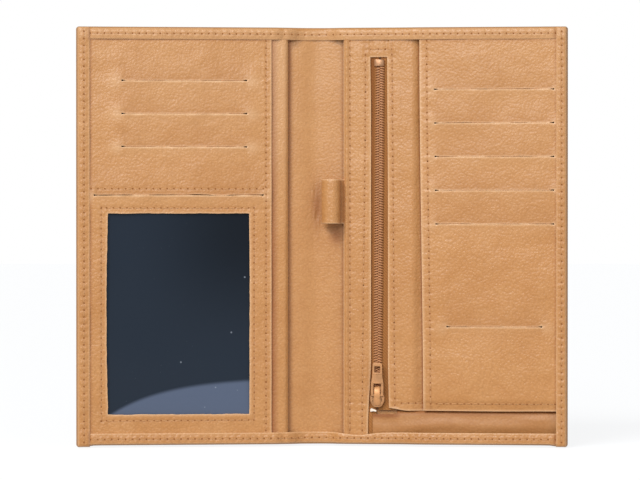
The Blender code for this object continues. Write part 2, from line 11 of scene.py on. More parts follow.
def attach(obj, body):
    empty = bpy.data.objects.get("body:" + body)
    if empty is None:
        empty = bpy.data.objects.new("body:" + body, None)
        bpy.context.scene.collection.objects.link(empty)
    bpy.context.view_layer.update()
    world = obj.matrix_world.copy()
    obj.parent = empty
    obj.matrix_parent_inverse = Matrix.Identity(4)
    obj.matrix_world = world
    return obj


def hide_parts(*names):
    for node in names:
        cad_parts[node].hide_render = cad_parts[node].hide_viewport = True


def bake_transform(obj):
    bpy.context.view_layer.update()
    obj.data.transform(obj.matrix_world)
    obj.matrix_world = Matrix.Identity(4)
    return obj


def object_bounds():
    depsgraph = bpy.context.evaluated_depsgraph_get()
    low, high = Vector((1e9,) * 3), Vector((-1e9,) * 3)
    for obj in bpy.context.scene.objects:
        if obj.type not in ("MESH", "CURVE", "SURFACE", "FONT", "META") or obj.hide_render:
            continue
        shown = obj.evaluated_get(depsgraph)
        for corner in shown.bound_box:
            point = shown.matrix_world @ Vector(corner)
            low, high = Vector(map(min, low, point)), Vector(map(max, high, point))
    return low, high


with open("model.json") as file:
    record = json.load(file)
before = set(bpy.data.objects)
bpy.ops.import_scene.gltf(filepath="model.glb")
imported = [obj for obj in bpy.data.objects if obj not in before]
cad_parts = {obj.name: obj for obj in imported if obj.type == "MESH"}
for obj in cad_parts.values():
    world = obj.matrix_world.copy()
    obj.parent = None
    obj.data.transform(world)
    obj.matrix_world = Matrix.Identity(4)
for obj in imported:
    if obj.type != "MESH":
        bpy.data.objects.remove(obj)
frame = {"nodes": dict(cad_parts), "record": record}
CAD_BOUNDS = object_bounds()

bl_info = {
    "name": "Long Leather Wallet",
    "version": (1, 0, 0),
    "blender": (4, 5, 0),
    "location": "3D View > Sidebar > Wallet",
    "description": "Builds a long leather wallet standing open, with its stage",
    "category": "Object",
}

# Flat pattern of the wallet, in millimetres.  x runs across the open wallet from
# the fold, z up from the bottom edge, and depth forward from the cover's back.
MM = 0.001
JOINTS = {joint["name"]: joint for joint in frame["record"]["behaviour"]["joints"]}
FOLD_Y = JOINTS["fold"]["pos_m"][1] / MM
HALF_OPEN = -math.radians(JOINTS["fold"]["range_deg"][0]) / 2
HEIGHT = (CAD_BOUNDS[1][2] - CAD_BOUNDS[0][2]) / MM
HALF_WIDTH = 117.0
FOLD_DEPTH = 8.8
SPINE_HALF = 13.0
LEFT, RIGHT, ACROSS = 0.0, 1.0, None

# depths of the front of each layer
LINING_FRONT = 2.7
BILL_FRONT = 4.6
BACKING_FRONT = 5.3
FILM_FRONT = 6.1
PANEL_FRONT = 7.3
POUCH_FRONT = 5.4
TAPE_FRONT = 4.1
HEM_FRONT = 8.2
LEATHER = 0.9

# edges shared by several pieces
UNDER_HEM = 115.4
HEM_LEFT = -110.6
HEM_RIGHT = 111.5
HEM_TOP = 194.0
HEM_BOTTOM = 6.6
PANEL_EDGE = -24.0
BILL_EDGE = -15.7
POUCH_EDGE = 10.0
CARD_EDGE = 47.1
POUCH_BOTTOM = 17.0
GUSSET_EDGE = 24.0
WINDOW = (-102.0, -34.7, 15.5, 111.1)
WIDE_SLIT = (-108.8, -27.8, 119.9)
LEFT_SLITS = [(-95.6, -35.7, 174.4), (-95.6, -35.7, 158.65), (-95.6, -35.7, 142.9)]
RIGHT_SLITS = [(53.9, 110.6, 170.3 - 16.05 * i) for i in range(5)]
SMALL_SLIT = (59.3, 105.0, 57.1)
PANEL_SLITS = LEFT_SLITS + [WIDE_SLIT]
CARD_SLITS = RIGHT_SLITS + [SMALL_SLIT]
SLIT_HALF = 0.24
PUNCH_RADIUS = 0.4
PITCH = 3.3

# rows of stitches, and where they start and end
TOP_ROW, BOTTOM_ROW = 196.7, 3.8
LEFT_ROW, RIGHT_ROW = -113.4, 114.1
ACROSS_FROM, ACROSS_TO = -110.2, 111.0
SIDE_FROM, SIDE_TO = 2.5, 197.5
INNER_FROM, INNER_TO = 7.5, 193.5
PANEL_ROW, SEAM_ROW = -26.7, 122.9
WINDOW_ROWS = (-105.2, -32.4, 12.6, 113.8)
POUCH_ROW, SLOT_ROW = 13.0, 189.6
ZIP_FROM, ZIP_TO = 19.5, 187.0
POUCH_LOW_ROW, CARD_LOW_ROW = 20.6, 20.5
FAR = 9.0

# zip line
ZIP_X = 26.1
ZIP_LEAN = math.radians(0.43)
SLOT_LEFT, SLOT_RIGHT, SLOT_TOP = 23.2, 31.3, 185.8
COIL_FROM, COIL_TO = 22.6, 181.3
SLIDER_LOW, SLIDER_LENGTH = 18.6, 11.2
PIVOT_UP, PIVOT_DEPTH = 24.2, 7.0


# ---------------------------------------------------------------- placing

def ease(value):
    """Smooth step from 0 to 1."""
    value = min(1.0, max(0.0, value))
    return value * value * (3.0 - 2.0 * value)


def stand(x, depth, z, side=ACROSS):
    """Turn a point of the flat pattern to where it stands, in metres."""
    share = ease((x + SPINE_HALF) / (2 * SPINE_HALF)) if side is None else side
    angle = HALF_OPEN * (1.0 - 2.0 * share)
    away = FOLD_DEPTH - depth
    across = x * math.cos(angle) - away * math.sin(angle)
    back = x * math.sin(angle) + away * math.cos(angle)
    return Vector((across * MM, (FOLD_Y + back) * MM, z * MM))


def on_zip(x, depth, z):
    """Turn a point measured along the leaning zip line to where it stands."""
    flat_x = ZIP_X + x * math.cos(ZIP_LEAN) + z * math.sin(ZIP_LEAN)
    flat_z = z * math.cos(ZIP_LEAN) - x * math.sin(ZIP_LEAN)
    return stand(flat_x, depth, flat_z, RIGHT)


def new_object(name, points, faces, skin, edge_angle=50.0, marks=None):
    """Make a mesh object from placed points, with any marks of painted shade, pale edge and painted
    highlight on them.
    """
    mesh = bpy.data.meshes.new(name)
    mesh.from_pydata([tuple(point) for point in points], [], faces)
    for mark, amounts in (marks or {}).items():
        mesh.attributes.new(mark, "FLOAT", "POINT").data.foreach_set("value", amounts)
    shape = bmesh.new()
    shape.from_mesh(mesh)
    bmesh.ops.remove_doubles(shape, verts=shape.verts, dist=2e-7)
    bmesh.ops.dissolve_degenerate(shape, edges=shape.edges, dist=1e-7)
    bmesh.ops.recalc_face_normals(shape, faces=shape.faces)
    shape.to_mesh(mesh)
    shape.free()
    made = bpy.data.objects.new(name, mesh)
    bpy.context.scene.collection.objects.link(made)
    mesh.materials.append(skin)
    smooth_by_angle(made, edge_angle)
    return made


def smooth_by_angle(made, angle):
    """Shade smooth but keep folds sharper than the angle crisp."""
    mesh = made.data
    mesh.shade_smooth()
    mesh.set_sharp_from_angle(angle=math.radians(angle))


def apply_modifiers(made):
    """Replace an object's mesh by what its modifiers give."""
    graph = bpy.context.evaluated_depsgraph_get()
    mesh = bpy.data.meshes.new_from_object(made.evaluated_get(graph))
    old = made.data
    made.modifiers.clear()
    made.data = mesh
    bpy.data.meshes.remove(old)


def settle(made, body, nodes):
    """Ride a body and stand for the frame's nodes."""
    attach(made, body)
    if nodes:
        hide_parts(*nodes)


def settle_across(made, nodes):
    """Bake the placing into a piece that spans the fold, on no body, and stand for the frame's nodes.
    """
    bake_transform(made)
    if nodes:
        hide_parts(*nodes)


# ---------------------------------------------------------------- surfaces

def bell(distance, width):
    """A smooth hump, 1 in the middle."""
    return math.exp(-(distance / width) ** 2)


def wobble(a, b, c):
    """Smooth noise between -1 and 1."""
    return noise.noise(Vector((a, b, c)))


def ripple(x, z, seed, size, height):
    """Soft unevenness of leather that has been handled."""
    return height * wobble(x / size, z / size, seed)


def creasing(x, z):
    """Soft slanting creases where the cards have pushed the leather about."""
    slant = wobble((x + z * 0.6) / 4.5, (z - x * 0.6) / 15.0, 35.0)
    patch = ease(wobble(x / 20.0, z / 20.0, 36.0) * 1.6 + 0.35)
    return 0.17 * slant * patch


def groove(distance, along=None, depth=0.10, width=0.6):
    """The line that a row of stitches presses into leather, puckered between holes."""
    line = -depth * bell(distance, width)
    if along is None or abs(distance) > 4:
        return line
    hole = 0.5 + 0.5 * math.cos(2 * math.pi * along / PITCH)
    puff = 0.17 * (1.0 - hole) - 0.12 * hole
    return line + puff * bell(abs(distance) - 0.8, 0.8)


def slit_lift(x, z, slit, raised=0.36, sunk=0.08):
    """How a card slit's lower lip stands proud and its upper lip sinks."""
    x0, x1, height = slit
    inside = ease((min(x - x0, x1 - x) + 0.6) / 3.4)
    ends = 0.35 * bell(x - x0 + 1.5, 3.5) * bell(z - height - 1.0, 4.0)
    ends += 0.3 * bell(x - x1 - 1.5, 3.5) * bell(z - height - 1.0, 4.0)
    if z < height:
        return raised * inside * math.exp((z - height) / 3.0) + ends
    return ends - sunk * inside * math.exp((height - z) / 2.5)


def slit_wander(x, height):
    """How far a hand-cut slit strays from its level."""
    return 0.28 * wobble(x / 14.0, height, 80.0)


def round_off(x, z, centre_x, centre_z):
    """Draw the square round a punched hole into a circle."""
    dx, dz = x - centre_x, z - centre_z
    square = max(abs(dx), abs(dz))
    if square < 1e-6 or square > 3 * PUNCH_RADIUS:
        return x, z
    share = 1.0 - ease((square - PUNCH_RADIUS) / (2 * PUNCH_RADIUS))
    scale = 1.0 + (square / math.hypot(dx, dz) - 1.0) * share
    return centre_x + dx * scale, centre_z + dz * scale


def slit_warp(x, z, slits, open_more=0.0):
    """Draw each slit's lips nearly shut, round its ends and let the cut wander a little."""
    for x0, x1, height in slits:
        away = z - height
        if abs(away) > 6 or not x0 - 6 < x < x1 + 6:
            continue
        for end in (x0 + PUNCH_RADIUS, x1 - PUNCH_RADIUS):
            x, z = round_off(x, z, end, height)
        fade = 1.0 - ease(abs(away) / 6.0)
        level = slit_wander(min(x1, max(x0, x)), height)
        level *= ease((x - x0 + 6.0) / 6.0) * ease((x1 + 6.0 - x) / 6.0)
        closing = ease((min(x - x0, x1 - x) - 2 * PUNCH_RADIUS) / 1.5)
        gape = max(0.0, wobble(x / 9.0, height, 83.0) + 0.1)
        half = 0.014 + (0.05 + open_more) * gape
        z += level * fade - math.copysign((SLIT_HALF - half) * fade * closing, away)
    return x, z


def slit_painted_shade(x, z, slits):
    """Painted shade on the upper lip just above each slit, and a broad darker band above it."""
    dark = 0.0
    for x0, x1, height in slits:
        above = z - height
        if x0 - 4 < x < x1 + 4 and -0.1 < above < 16:
            inside = ease((min(x - x0, x1 - x) + 4.0) / 6.0)
            dark = max(dark, inside * (0.3 * math.exp(-above / 0.5) + 0.15 * math.exp(-above / 9.0)))
    return dark


def slit_painted_highlight(x, z, slits):
    """Painted highlight along the lower lip of each slit, and on the leather that stands proud round
    its ends.
    """
    pale = 0.0
    for x0, x1, height in slits:
        below = height - z
        if abs(below) > 14 or not x0 - 9 < x < x1 + 9:
            continue
        inside = ease(min(x - x0, x1 - x) / 2.0)
        if below > -0.05:
            patchy = 0.75 + 0.5 * wobble(x / 5.0, height, 88.0)
            pale = max(pale, 1.25 * inside * patchy * bell(below - 0.3, 0.5))
            pale = max(pale, 0.22 * inside * math.exp(-below / 3.5))
        for end, side in ((x0 - 1.5, -1.0), (x1 + 1.5, 1.0)):
            out = (x - end) * side
            spot = math.exp(-(out / (4.5 if out > 0 else 2.0)) ** 2 - ((below - 0.5) / 3.0) ** 2)
            pale = max(pale, 0.48 * spot)
    return pale


def row_painted_shade(*distances):
    """Painted shade in the groove along rows of stitches."""
    return max(0.16 * bell(distance, 0.6) for distance in distances)


def hem_base(x):
    """Front of the turned top and bottom edges, hugging the layers beneath."""
    if x < 0:
        return HEM_FRONT - 1.3 * ease((x + 22.0) / 4.0) - 3.15 * ease((x + 17.0) / 9.0)
    if x < 30:
        return 3.75 + 2.8 * ease((x - 1.0) / 9.0)
    return 6.55 + (HEM_FRONT - 6.55) * ease((x - 38.0) / 9.0)


def lifted(x, z):
    """Height of a point near the bottom edge, which lifts between the corners."""
    return z + 0.75 * (1.0 - ease(z / 6.0)) * ease((HALF_WIDTH - 2.5 - abs(x)) / 7.0)


def bottom_warp(x, z):
    """The bottom hem lifts with the edge and narrows beside the fold."""
    narrow = 1.25 * bell(x - 17.0, 8.0)
    return x, lifted(x, z) - narrow * ease(z / HEM_BOTTOM)


def skive(inset):
    """Thinning of a turned edge towards its inner side."""
    return 0.32 * ease((inset - 3.6) / 2.4)


def edge_roll(inset):
    """Drop of a turned edge as it rolls over the rim."""
    return 0.3 * max(0.0, 2.1 - inset) ** 2


def lining_front(x, z):
    """Front of the lining, folded and creased beside the spine."""
    spine = bell(x + 3.0, 12.0)
    wander = 0.9 * wobble(z / 45.0, 2.0, 1.0)
    folds = 0.30 * spine * math.sin(x * 0.5 + wander)
    by_loop = bell(x + 2.4, 2.6) * bell(z - 113.0, 13.0)
    creases = by_loop * 0.5 * wobble(x / 0.9, z / 4.5, 33.0)
    return LINING_FRONT + folds * 0.6 + creases + ripple(x, z, 3.0, 16.0, 0.22)


def lining_painted_shade(x, z):
    """Painted shade on the lining: creases left of the pen loop, the loop's shadow below it, and
    shadows beside the bill pocket's and pouch's edges.
    """
    by_loop = 0.55 * bell(x + 2.2, 2.4) * bell(z - 115.0, 10.0)
    under = 0.6 * bell(x - 6.5, 3.2) * bell(z - 101.0, 5.0)
    beside_bill = 0.75 * bell(x - BILL_EDGE - 0.4, 1.3) * (0.55 + z / 440.0)
    beside_pouch = 0.45 * bell(x - POUCH_EDGE + 0.3, 0.9)
    return max(by_loop, under, beside_bill, beside_pouch)


def bill_front(x, z):
    """The pocket's folded edge puffs up beside the card panel."""
    puff = 1.75 * ease((x + 25.6) / 1.6)
    roll = 1.7 * max(0.0, (x - BILL_EDGE + 2.6) / 2.6) ** 2.4
    wave = ripple(x, z, 8.0, 30.0, 0.25) + ripple(x, z, 9.0, 7.0, 0.07)
    return BILL_FRONT + puff + wave - roll


def bill_painted_shade(x, z):
    """Painted shade along the edge of the panel that lies on the pocket."""
    return 0.85 * bell(x - PANEL_EDGE - 0.15, 0.5)


def frame_gap(x, z):
    """Distance from the rectangle of stitches round the window."""
    return max(abs(x + 68.8) - 36.4, abs(z - 63.2) - 50.6)


def left_panel_front(x, z):
    """Front of the panel with the three slits, the wide slit and the window."""
    depth = PANEL_FRONT + ripple(x, z, 5.0, 22.0, 0.5) + ripple(x, z, 6.0, 6.5, 0.17)
    depth += creasing(x, z)
    for slit in LEFT_SLITS:
        depth += slit_lift(x, z, slit)
    depth += slit_lift(x, z, WIDE_SLIT, 0.4, 0.1)
    depth += groove(x - PANEL_ROW, z - INNER_FROM)
    if x < -30:
        depth += groove(z - SEAM_ROW, x + 110.0)
    gap = frame_gap(x, z)
    if abs(gap) < 3:
        along = z if abs(x + 68.8) - 36.4 > abs(z - 63.2) - 50.6 else x
        depth += groove(gap, along + 12.6)
    return depth


def left_panel_painted_shade(x, z):
    """Painted shade along the left panel's stitches, beside its hems and at its slits."""
    rows = row_painted_shade(x - PANEL_ROW, z - SEAM_ROW if x < -28 else FAR, frame_gap(x, z))
    seam = 0.5 * bell(x - HEM_LEFT - 0.2, 0.5)
    hem = 0.45 * bell(z - HEM_TOP, 0.5)
    return max(rows, seam, hem, slit_painted_shade(x, z, PANEL_SLITS))


def slot_edges(z):
    """Left and right cut edges of the zip's slot, which opens out at the bottom."""
    spread = 1.0 - ease((z - 8.0) / 34.0)
    left = 23.2 - 0.3 * ease((z - 160.0) / 25.0) - 1.5 * spread
    right = 31.3 - 0.4 * ease((z - 110.0) / 75.0) + 0.6 * spread
    return left, right


def zip_rows(z):
    """Stitch rows left and right of the zip."""
    return 19.0 + 1.5 * ease(z / 187.0), 34.8 - 1.6 * z / 187.0


def pouch_front(x, z):
    """Front of the coin pouch, with the lips of its slot pressed down."""
    left, right = slot_edges(z)
    left_row, right_row = zip_rows(z)
    depth = POUCH_FRONT + ripple(x, z, 12.0, 22.0, 0.45) + ripple(x, z, 13.0, 6.5, 0.16)
    depth += 0.6 * bell(x - POUCH_EDGE - 1.3, 1.3)
    depth -= 0.75 * ease((POUCH_EDGE + 1.1 - x) / 1.1)
    depth += groove(x - POUCH_ROW, z - INNER_FROM) + groove(x - left_row, z - INNER_FROM)
    depth += groove(x - right_row, z - ZIP_FROM)
    lip = min(abs(x - left), abs(x - right))
    depth -= 0.3 * bell(lip, 0.9)
    if 19 < x < 35:
        depth += groove(z - SLOT_ROW, x - 23.3)
        depth -= 0.25 * bell(z - SLOT_TOP, 0.9)
    if x > 31:
        depth += groove(z - POUCH_LOW_ROW, x - 34.5)
        depth -= 1.15 * ease((x - 42.6) / 4.4)
    return depth


def pouch_painted_shade(x, z):
    """Painted shade along the pouch's stitches and where it goes under the panel and hem."""
    left_row, right_row = zip_rows(z)
    rows = row_painted_shade(x - POUCH_ROW, x - left_row, x - right_row,
                       z - SLOT_ROW if 20 < x < 34 else FAR,
                       z - POUCH_LOW_ROW if 34 < x else FAR)
    tuck = 0.85 * bell(x - card_edge(z) + 0.1, 0.75)
    hem = 0.4 * bell(z - HEM_TOP, 0.5)
    return max(rows, tuck, hem)


def card_edge(z):
    """Free left edge of the card panel, leaning out towards the bottom."""
    return CARD_EDGE - 0.7 + 2.0 * (1.0 - ease(z / HEIGHT))


def card_row(z):
    """Stitch row beside the card panel's free edge."""
    return card_edge(z) + 3.5


def card_panel_front(x, z):
    """Front of the card panel, sinking towards its bottom edge."""
    depth = PANEL_FRONT + ripple(x, z, 17.0, 22.0, 0.5) + ripple(x, z, 18.0, 6.5, 0.14)
    depth += 0.8 * creasing(x, z)
    for slit in RIGHT_SLITS:
        depth += slit_lift(x, z, slit, 0.3)
    depth += slit_lift(x, z, SMALL_SLIT, 0.3, 0.08)
    depth += groove(x - card_row(z), z - CARD_LOW_ROW) + groove(z - CARD_LOW_ROW, x - 53.5)
    return depth - 1.1 * (1.0 - ease((z - POUCH_BOTTOM) / 6.0))


def card_panel_painted_shade(x, z):
    """Painted shade along the card panel's stitches, beside its hems and at its slits."""
    rows = row_painted_shade(x - card_row(z), z - CARD_LOW_ROW if x > card_row(z) else FAR)
    seam = 0.5 * bell(x - HEM_RIGHT + 0.2, 0.5)
    hem = 0.4 * bell(z - HEM_TOP, 0.5)
    return max(rows, seam, hem, slit_painted_shade(x, z, CARD_SLITS))


def crossing(x):
    """Where the side hems lap over the top and bottom ones."""
    return 0.45 * (ease((-109.8 - x) / 1.0) + ease((x - 110.8) / 1.0))


def hem_top_front(x, z):
    """Front of the turned top edge."""
    inset = HEIGHT - z
    return (hem_base(x) + ripple(x, z, 21.0, 9.0, 0.2) - edge_roll(inset) - skive(inset)
            + groove(z - TOP_ROW, x - ACROSS_FROM) - crossing(x))


def hem_bottom_front(x, z):
    """Front of the turned bottom edge."""
    return (hem_base(x) + ripple(x, z, 23.0, 9.0, 0.2) - edge_roll(z) - skive(z)
            + groove(z - BOTTOM_ROW, x - ACROSS_FROM) - crossing(x))


def hem_ends(z):
    """A side hem rides over the top and bottom hems and rolls over the corners."""
    over = 0.35 * (ease((z - 192.5) / 2.0) + ease((8.0 - z) / 2.0))
    return over - 0.8 * (edge_roll(HEIGHT - z) + edge_roll(z))


def hem_left_front(x, z):
    """Front of the turned left edge."""
    inset = x + HALF_WIDTH
    return (HEM_FRONT + 0.1 + ripple(x, z, 25.0, 9.0, 0.22) + hem_ends(z) - edge_roll(inset)
            - skive(inset) + groove(x - LEFT_ROW, z - SIDE_FROM))


def hem_right_front(x, z):
    """Front of the turned right edge."""
    inset = HALF_WIDTH - x
    return (HEM_FRONT + 0.1 + ripple(x, z, 27.0, 9.0, 0.22) + hem_ends(z) - edge_roll(inset)
            - skive(inset) + groove(x - RIGHT_ROW, z - SIDE_FROM))


# ---------------------------------------------------------------- sheets

def lines(start, end, step, extras=()):
    """Grid lines from start to end no further apart than step, with the extras."""
    marks = {round(start, 4), round(end, 4)}
    for extra in extras:
        if start < extra < end:
            marks.add(round(extra, 4))
    marks = sorted(marks)
    out = [marks[0]]
    for low, high in zip(marks, marks[1:]):
        count = max(1, math.ceil((high - low) / step))
        for i in range(1, count + 1):
            out.append(low + (high - low) * i / count)
    return out


def beside(place, *widths):
    """The place itself and lines at each width on both sides of it."""
    out = [place]
    for width in widths:
        out += [place - width, place + width]
    return out


def stitched(*rows):
    """Grid lines along rows of stitches."""
    out = []
    for row in rows:
        out += beside(row, 0.35, 0.8)
    return out


def edge_drop(distance, radius):
    """How far a rounded cut edge falls at a distance in from the cut."""
    if distance >= radius:
        return 0.0
    return radius - math.sqrt(max(0.0, radius ** 2 - (radius - distance) ** 2))


def rect_gap(x, z, rect):
    """Distance outside a rectangle."""
    x0, x1, z0, z1 = rect
    return math.hypot(max(x0 - x, 0.0, x - x1), max(z0 - z, 0.0, z - z1))


def cut_sheet(name, xs, zs, front, thick, side, skin, holes=(), radius=0.18, warp=None,
              painted_shade=None, lighter_tone=0.0, paler_patches=None):
    """A sheet of leather or cloth on a grid, with rectangular cuts and rounded edges.

    Its cut edges are made pale by the given share, partly the raw edge and partly painted
    highlight; the darkening function gives painted shade and the paling function painted highlight.
    """
    points = []
    dark = []
    pale = []
    x0, x1, z0, z1 = xs[0], xs[-1], zs[0], zs[-1]
    radius = min(radius, thick * 0.49)
    for z in zs:
        for x in xs:
            distance = min(x - x0, x1 - x, z - z0, z1 - z)
            for hole in holes:
                distance = min(distance, rect_gap(x, z, hole))
            drop = edge_drop(distance, radius)
            px, pz = warp(x, z) if warp else (x, z)
            depth = front(px, pz)
            points.append(stand(px, depth - drop, pz, side))
            points.append(stand(px, depth - thick + drop, pz, side))
            dark += [painted_shade(px, pz) if painted_shade else 0.0] * 2
            edge = lighter_tone * (1.0 - ease(distance / 0.85))
            pale += [max(edge, paler_patches(px, pz)) if paler_patches else edge] * 2
    count = len(xs)

    def kept(i, j):
        if not (0 <= i < count - 1 and 0 <= j < len(zs) - 1):
            return False
        mid_x = (xs[i] + xs[i + 1]) / 2
        mid_z = (zs[j] + zs[j + 1]) / 2
        return not any(h[0] < mid_x < h[1] and h[2] < mid_z < h[3] for h in holes)

    def vertex(i, j, back):
        return 2 * (j * count + i) + back

    faces = []
    for j in range(len(zs) - 1):
        for i in range(count - 1):
            if not kept(i, j):
                continue
            corners = ((i, j), (i + 1, j), (i + 1, j + 1), (i, j + 1))
            faces.append(tuple(vertex(a, b, 0) for a, b in corners))
            faces.append(tuple(vertex(a, b, 1) for a, b in reversed(corners)))
            for (a, b), (c, d), (u, v) in (
                    (corners[0], corners[1], (i, j - 1)), (corners[1], corners[2], (i + 1, j)),
                    (corners[2], corners[3], (i, j + 1)), (corners[3], corners[0], (i - 1, j))):
                if not kept(u, v):
                    faces.append((vertex(a, b, 0), vertex(a, b, 1),
                                  vertex(c, d, 1), vertex(c, d, 0)))
    made = new_object(name, points, faces, skin, marks={"painted_shade": dark, "lighter_tone": pale})
    return drop_loose(made)


def drop_loose(made):
    """Delete points that no face uses."""
    shape = bmesh.new()
    shape.from_mesh(made.data)
    loose = [vert for vert in shape.verts if not vert.link_faces]
    bmesh.ops.delete(shape, geom=loose, context="VERTS")
    shape.to_mesh(made.data)
    shape.free()
    return made


def slit_holes(slits):
    """The cut of each card slit and the round holes punched at its ends."""
    cuts = []
    for x0, x1, z in slits:
        cuts.append((x0 + PUNCH_RADIUS, x1 - PUNCH_RADIUS, z - SLIT_HALF, z + SLIT_HALF))
        for x in (x0, x1 - 2 * PUNCH_RADIUS):
            cuts.append((x, x + 2 * PUNCH_RADIUS, z - PUNCH_RADIUS, z + PUNCH_RADIUS))
    return cuts


def slit_lines(slits):
    """Grid columns and rows that a set of slits needs."""
    columns = []
    rows = []
    for x0, x1, z in slits:
        for x in (x0 + PUNCH_RADIUS, x1 - PUNCH_RADIUS):
            columns += beside(x, PUNCH_RADIUS, 1.7 * PUNCH_RADIUS)
        rows += beside(z, SLIT_HALF, PUNCH_RADIUS, 0.62, 0.85, 1.3, 2.0)
    return columns, rows


EDGE_STEPS = (0.07, 0.2, 0.45)
FINE = 1.1


def rim(low, high):
    """Extra lines just inside both ends."""
    return [low + e for e in EDGE_STEPS] + [high - e for e in EDGE_STEPS]


# ---------------------------------------------------------------- other shapes

def ring_faces(rings, wide):
    """Faces between closed rings of points, wide points to a ring."""
    faces = []
    for low in range(0, (rings - 1) * wide, wide):
        for k in range(wide):
            n = (k + 1) % wide
            faces.append((low + k, low + n, low + wide + n, low + wide + k))
    return faces


def end_faces(rings, wide):
    """Faces that close the first and the last ring."""
    last = (rings - 1) * wide
    return [tuple(range(wide)), tuple(last + k for k in reversed(range(wide)))]


def tube(path, radius, sides, place):
    """Points and faces of a round tube along a path of (x, depth, z)."""
    points = []
    vectors = [Vector(p) for p in path]
    for i, centre in enumerate(vectors):
        ahead = vectors[min(i + 1, len(vectors) - 1)] - vectors[max(i - 1, 0)]
        ahead.normalize()
        across = ahead.cross(Vector((0.0, 1.0, 0.001))).normalized()
        out = across.cross(ahead).normalized()
        for k in range(sides):
            angle = 2 * math.pi * k / sides
            spot = centre + across * (radius * math.cos(angle)) + out * (radius * math.sin(angle))
            points.append(place(*spot))
    return points, ring_faces(len(path), sides) + end_faces(len(path), sides)


def gather(pieces):
    """Join lists of points and faces."""
    points = []
    faces = []
    for some_points, some_faces in pieces:
        base = len(points)
        points += some_points
        faces += [tuple(base + k for k in face) for face in some_faces]
    return points, faces


def cut_metal(outlines, depth, half, bevel, place):
    """A plate with rounded edges, cut from outlines of (x, z)."""
    curve = bpy.data.curves.new("sketch", "CURVE")
    curve.dimensions = "2D"
    curve.fill_mode = "BOTH"
    curve.extrude = half - bevel
    curve.bevel_depth = bevel
    curve.bevel_resolution = 2
    curve.offset = -bevel
    for outline in outlines:
        spline = curve.splines.new("POLY")
        spline.points.add(len(outline) - 1)
        for point, (x, z) in zip(spline.points, outline):
            point.co = (x, z, 0.0, 1.0)
        spline.use_cyclic_u = True
    sketch = bpy.data.objects.new("sketch", curve)
    mesh = bpy.data.meshes.new_from_object(sketch)
    points = [place(v.co.x, depth + v.co.z, v.co.y) for v in mesh.vertices]
    faces = [tuple(face.vertices) for face in mesh.polygons]
    bpy.data.objects.remove(sketch)
    bpy.data.curves.remove(curve)
    bpy.data.meshes.remove(mesh)
    return points, faces


def soften(outline, rounds=2):
    """Cut the corners of a closed outline."""
    for _ in range(rounds):
        out = []
        for (ax, az), (bx, bz) in zip(outline, outline[1:] + outline[:1]):
            out.append((ax * 0.75 + bx * 0.25, az * 0.75 + bz * 0.25))
            out.append((ax * 0.25 + bx * 0.75, az * 0.25 + bz * 0.75))
        outline = out
    return outline


def rounded_rectangle(x0, x1, z0, z1, radius, steps=4):
    """Outline of a rectangle with round corners."""
    out = []
    for cx, cz, start in ((x1 - radius, z0 + radius, -90), (x1 - radius, z1 - radius, 0),
                          (x0 + radius, z1 - radius, 90), (x0 + radius, z0 + radius, 180)):
        for k in range(steps + 1):
            angle = math.radians(start + 90 * k / steps)
            out.append((cx + radius * math.cos(angle), cz + radius * math.sin(angle)))
    return out


# ---------------------------------------------------------------- shader maths

class Value:
    """A shader socket, or a number, that takes part in Python expressions."""

    def __init__(self, paint, socket):
        self.paint = paint
        self.socket = socket

    def _math(self, operation, *others, swap=False):
        sockets = [self] + list(others)
        if swap:
            sockets.reverse()
        return self.paint.add("ShaderNodeMath", {"operation": operation},
                              {i: s for i, s in enumerate(sockets)})

    def __add__(self, other):
        return self._math("ADD", other)

    __radd__ = __add__

    def __sub__(self, other):
        return self._math("SUBTRACT", other)

    def __rsub__(self, other):
        return self._math("SUBTRACT", other, swap=True)

    def __mul__(self, other):
        return self._math("MULTIPLY", other)

    __rmul__ = __mul__

    def __truediv__(self, other):
        return self._math("DIVIDE", other)

    def step(self, low, high):
        """0 below low, 1 above high, eased between."""
        return self.paint.add("ShaderNodeMapRange", {"interpolation_type": "SMOOTHSTEP"},
                              {"Value": self, "From Min": low, "From Max": high})


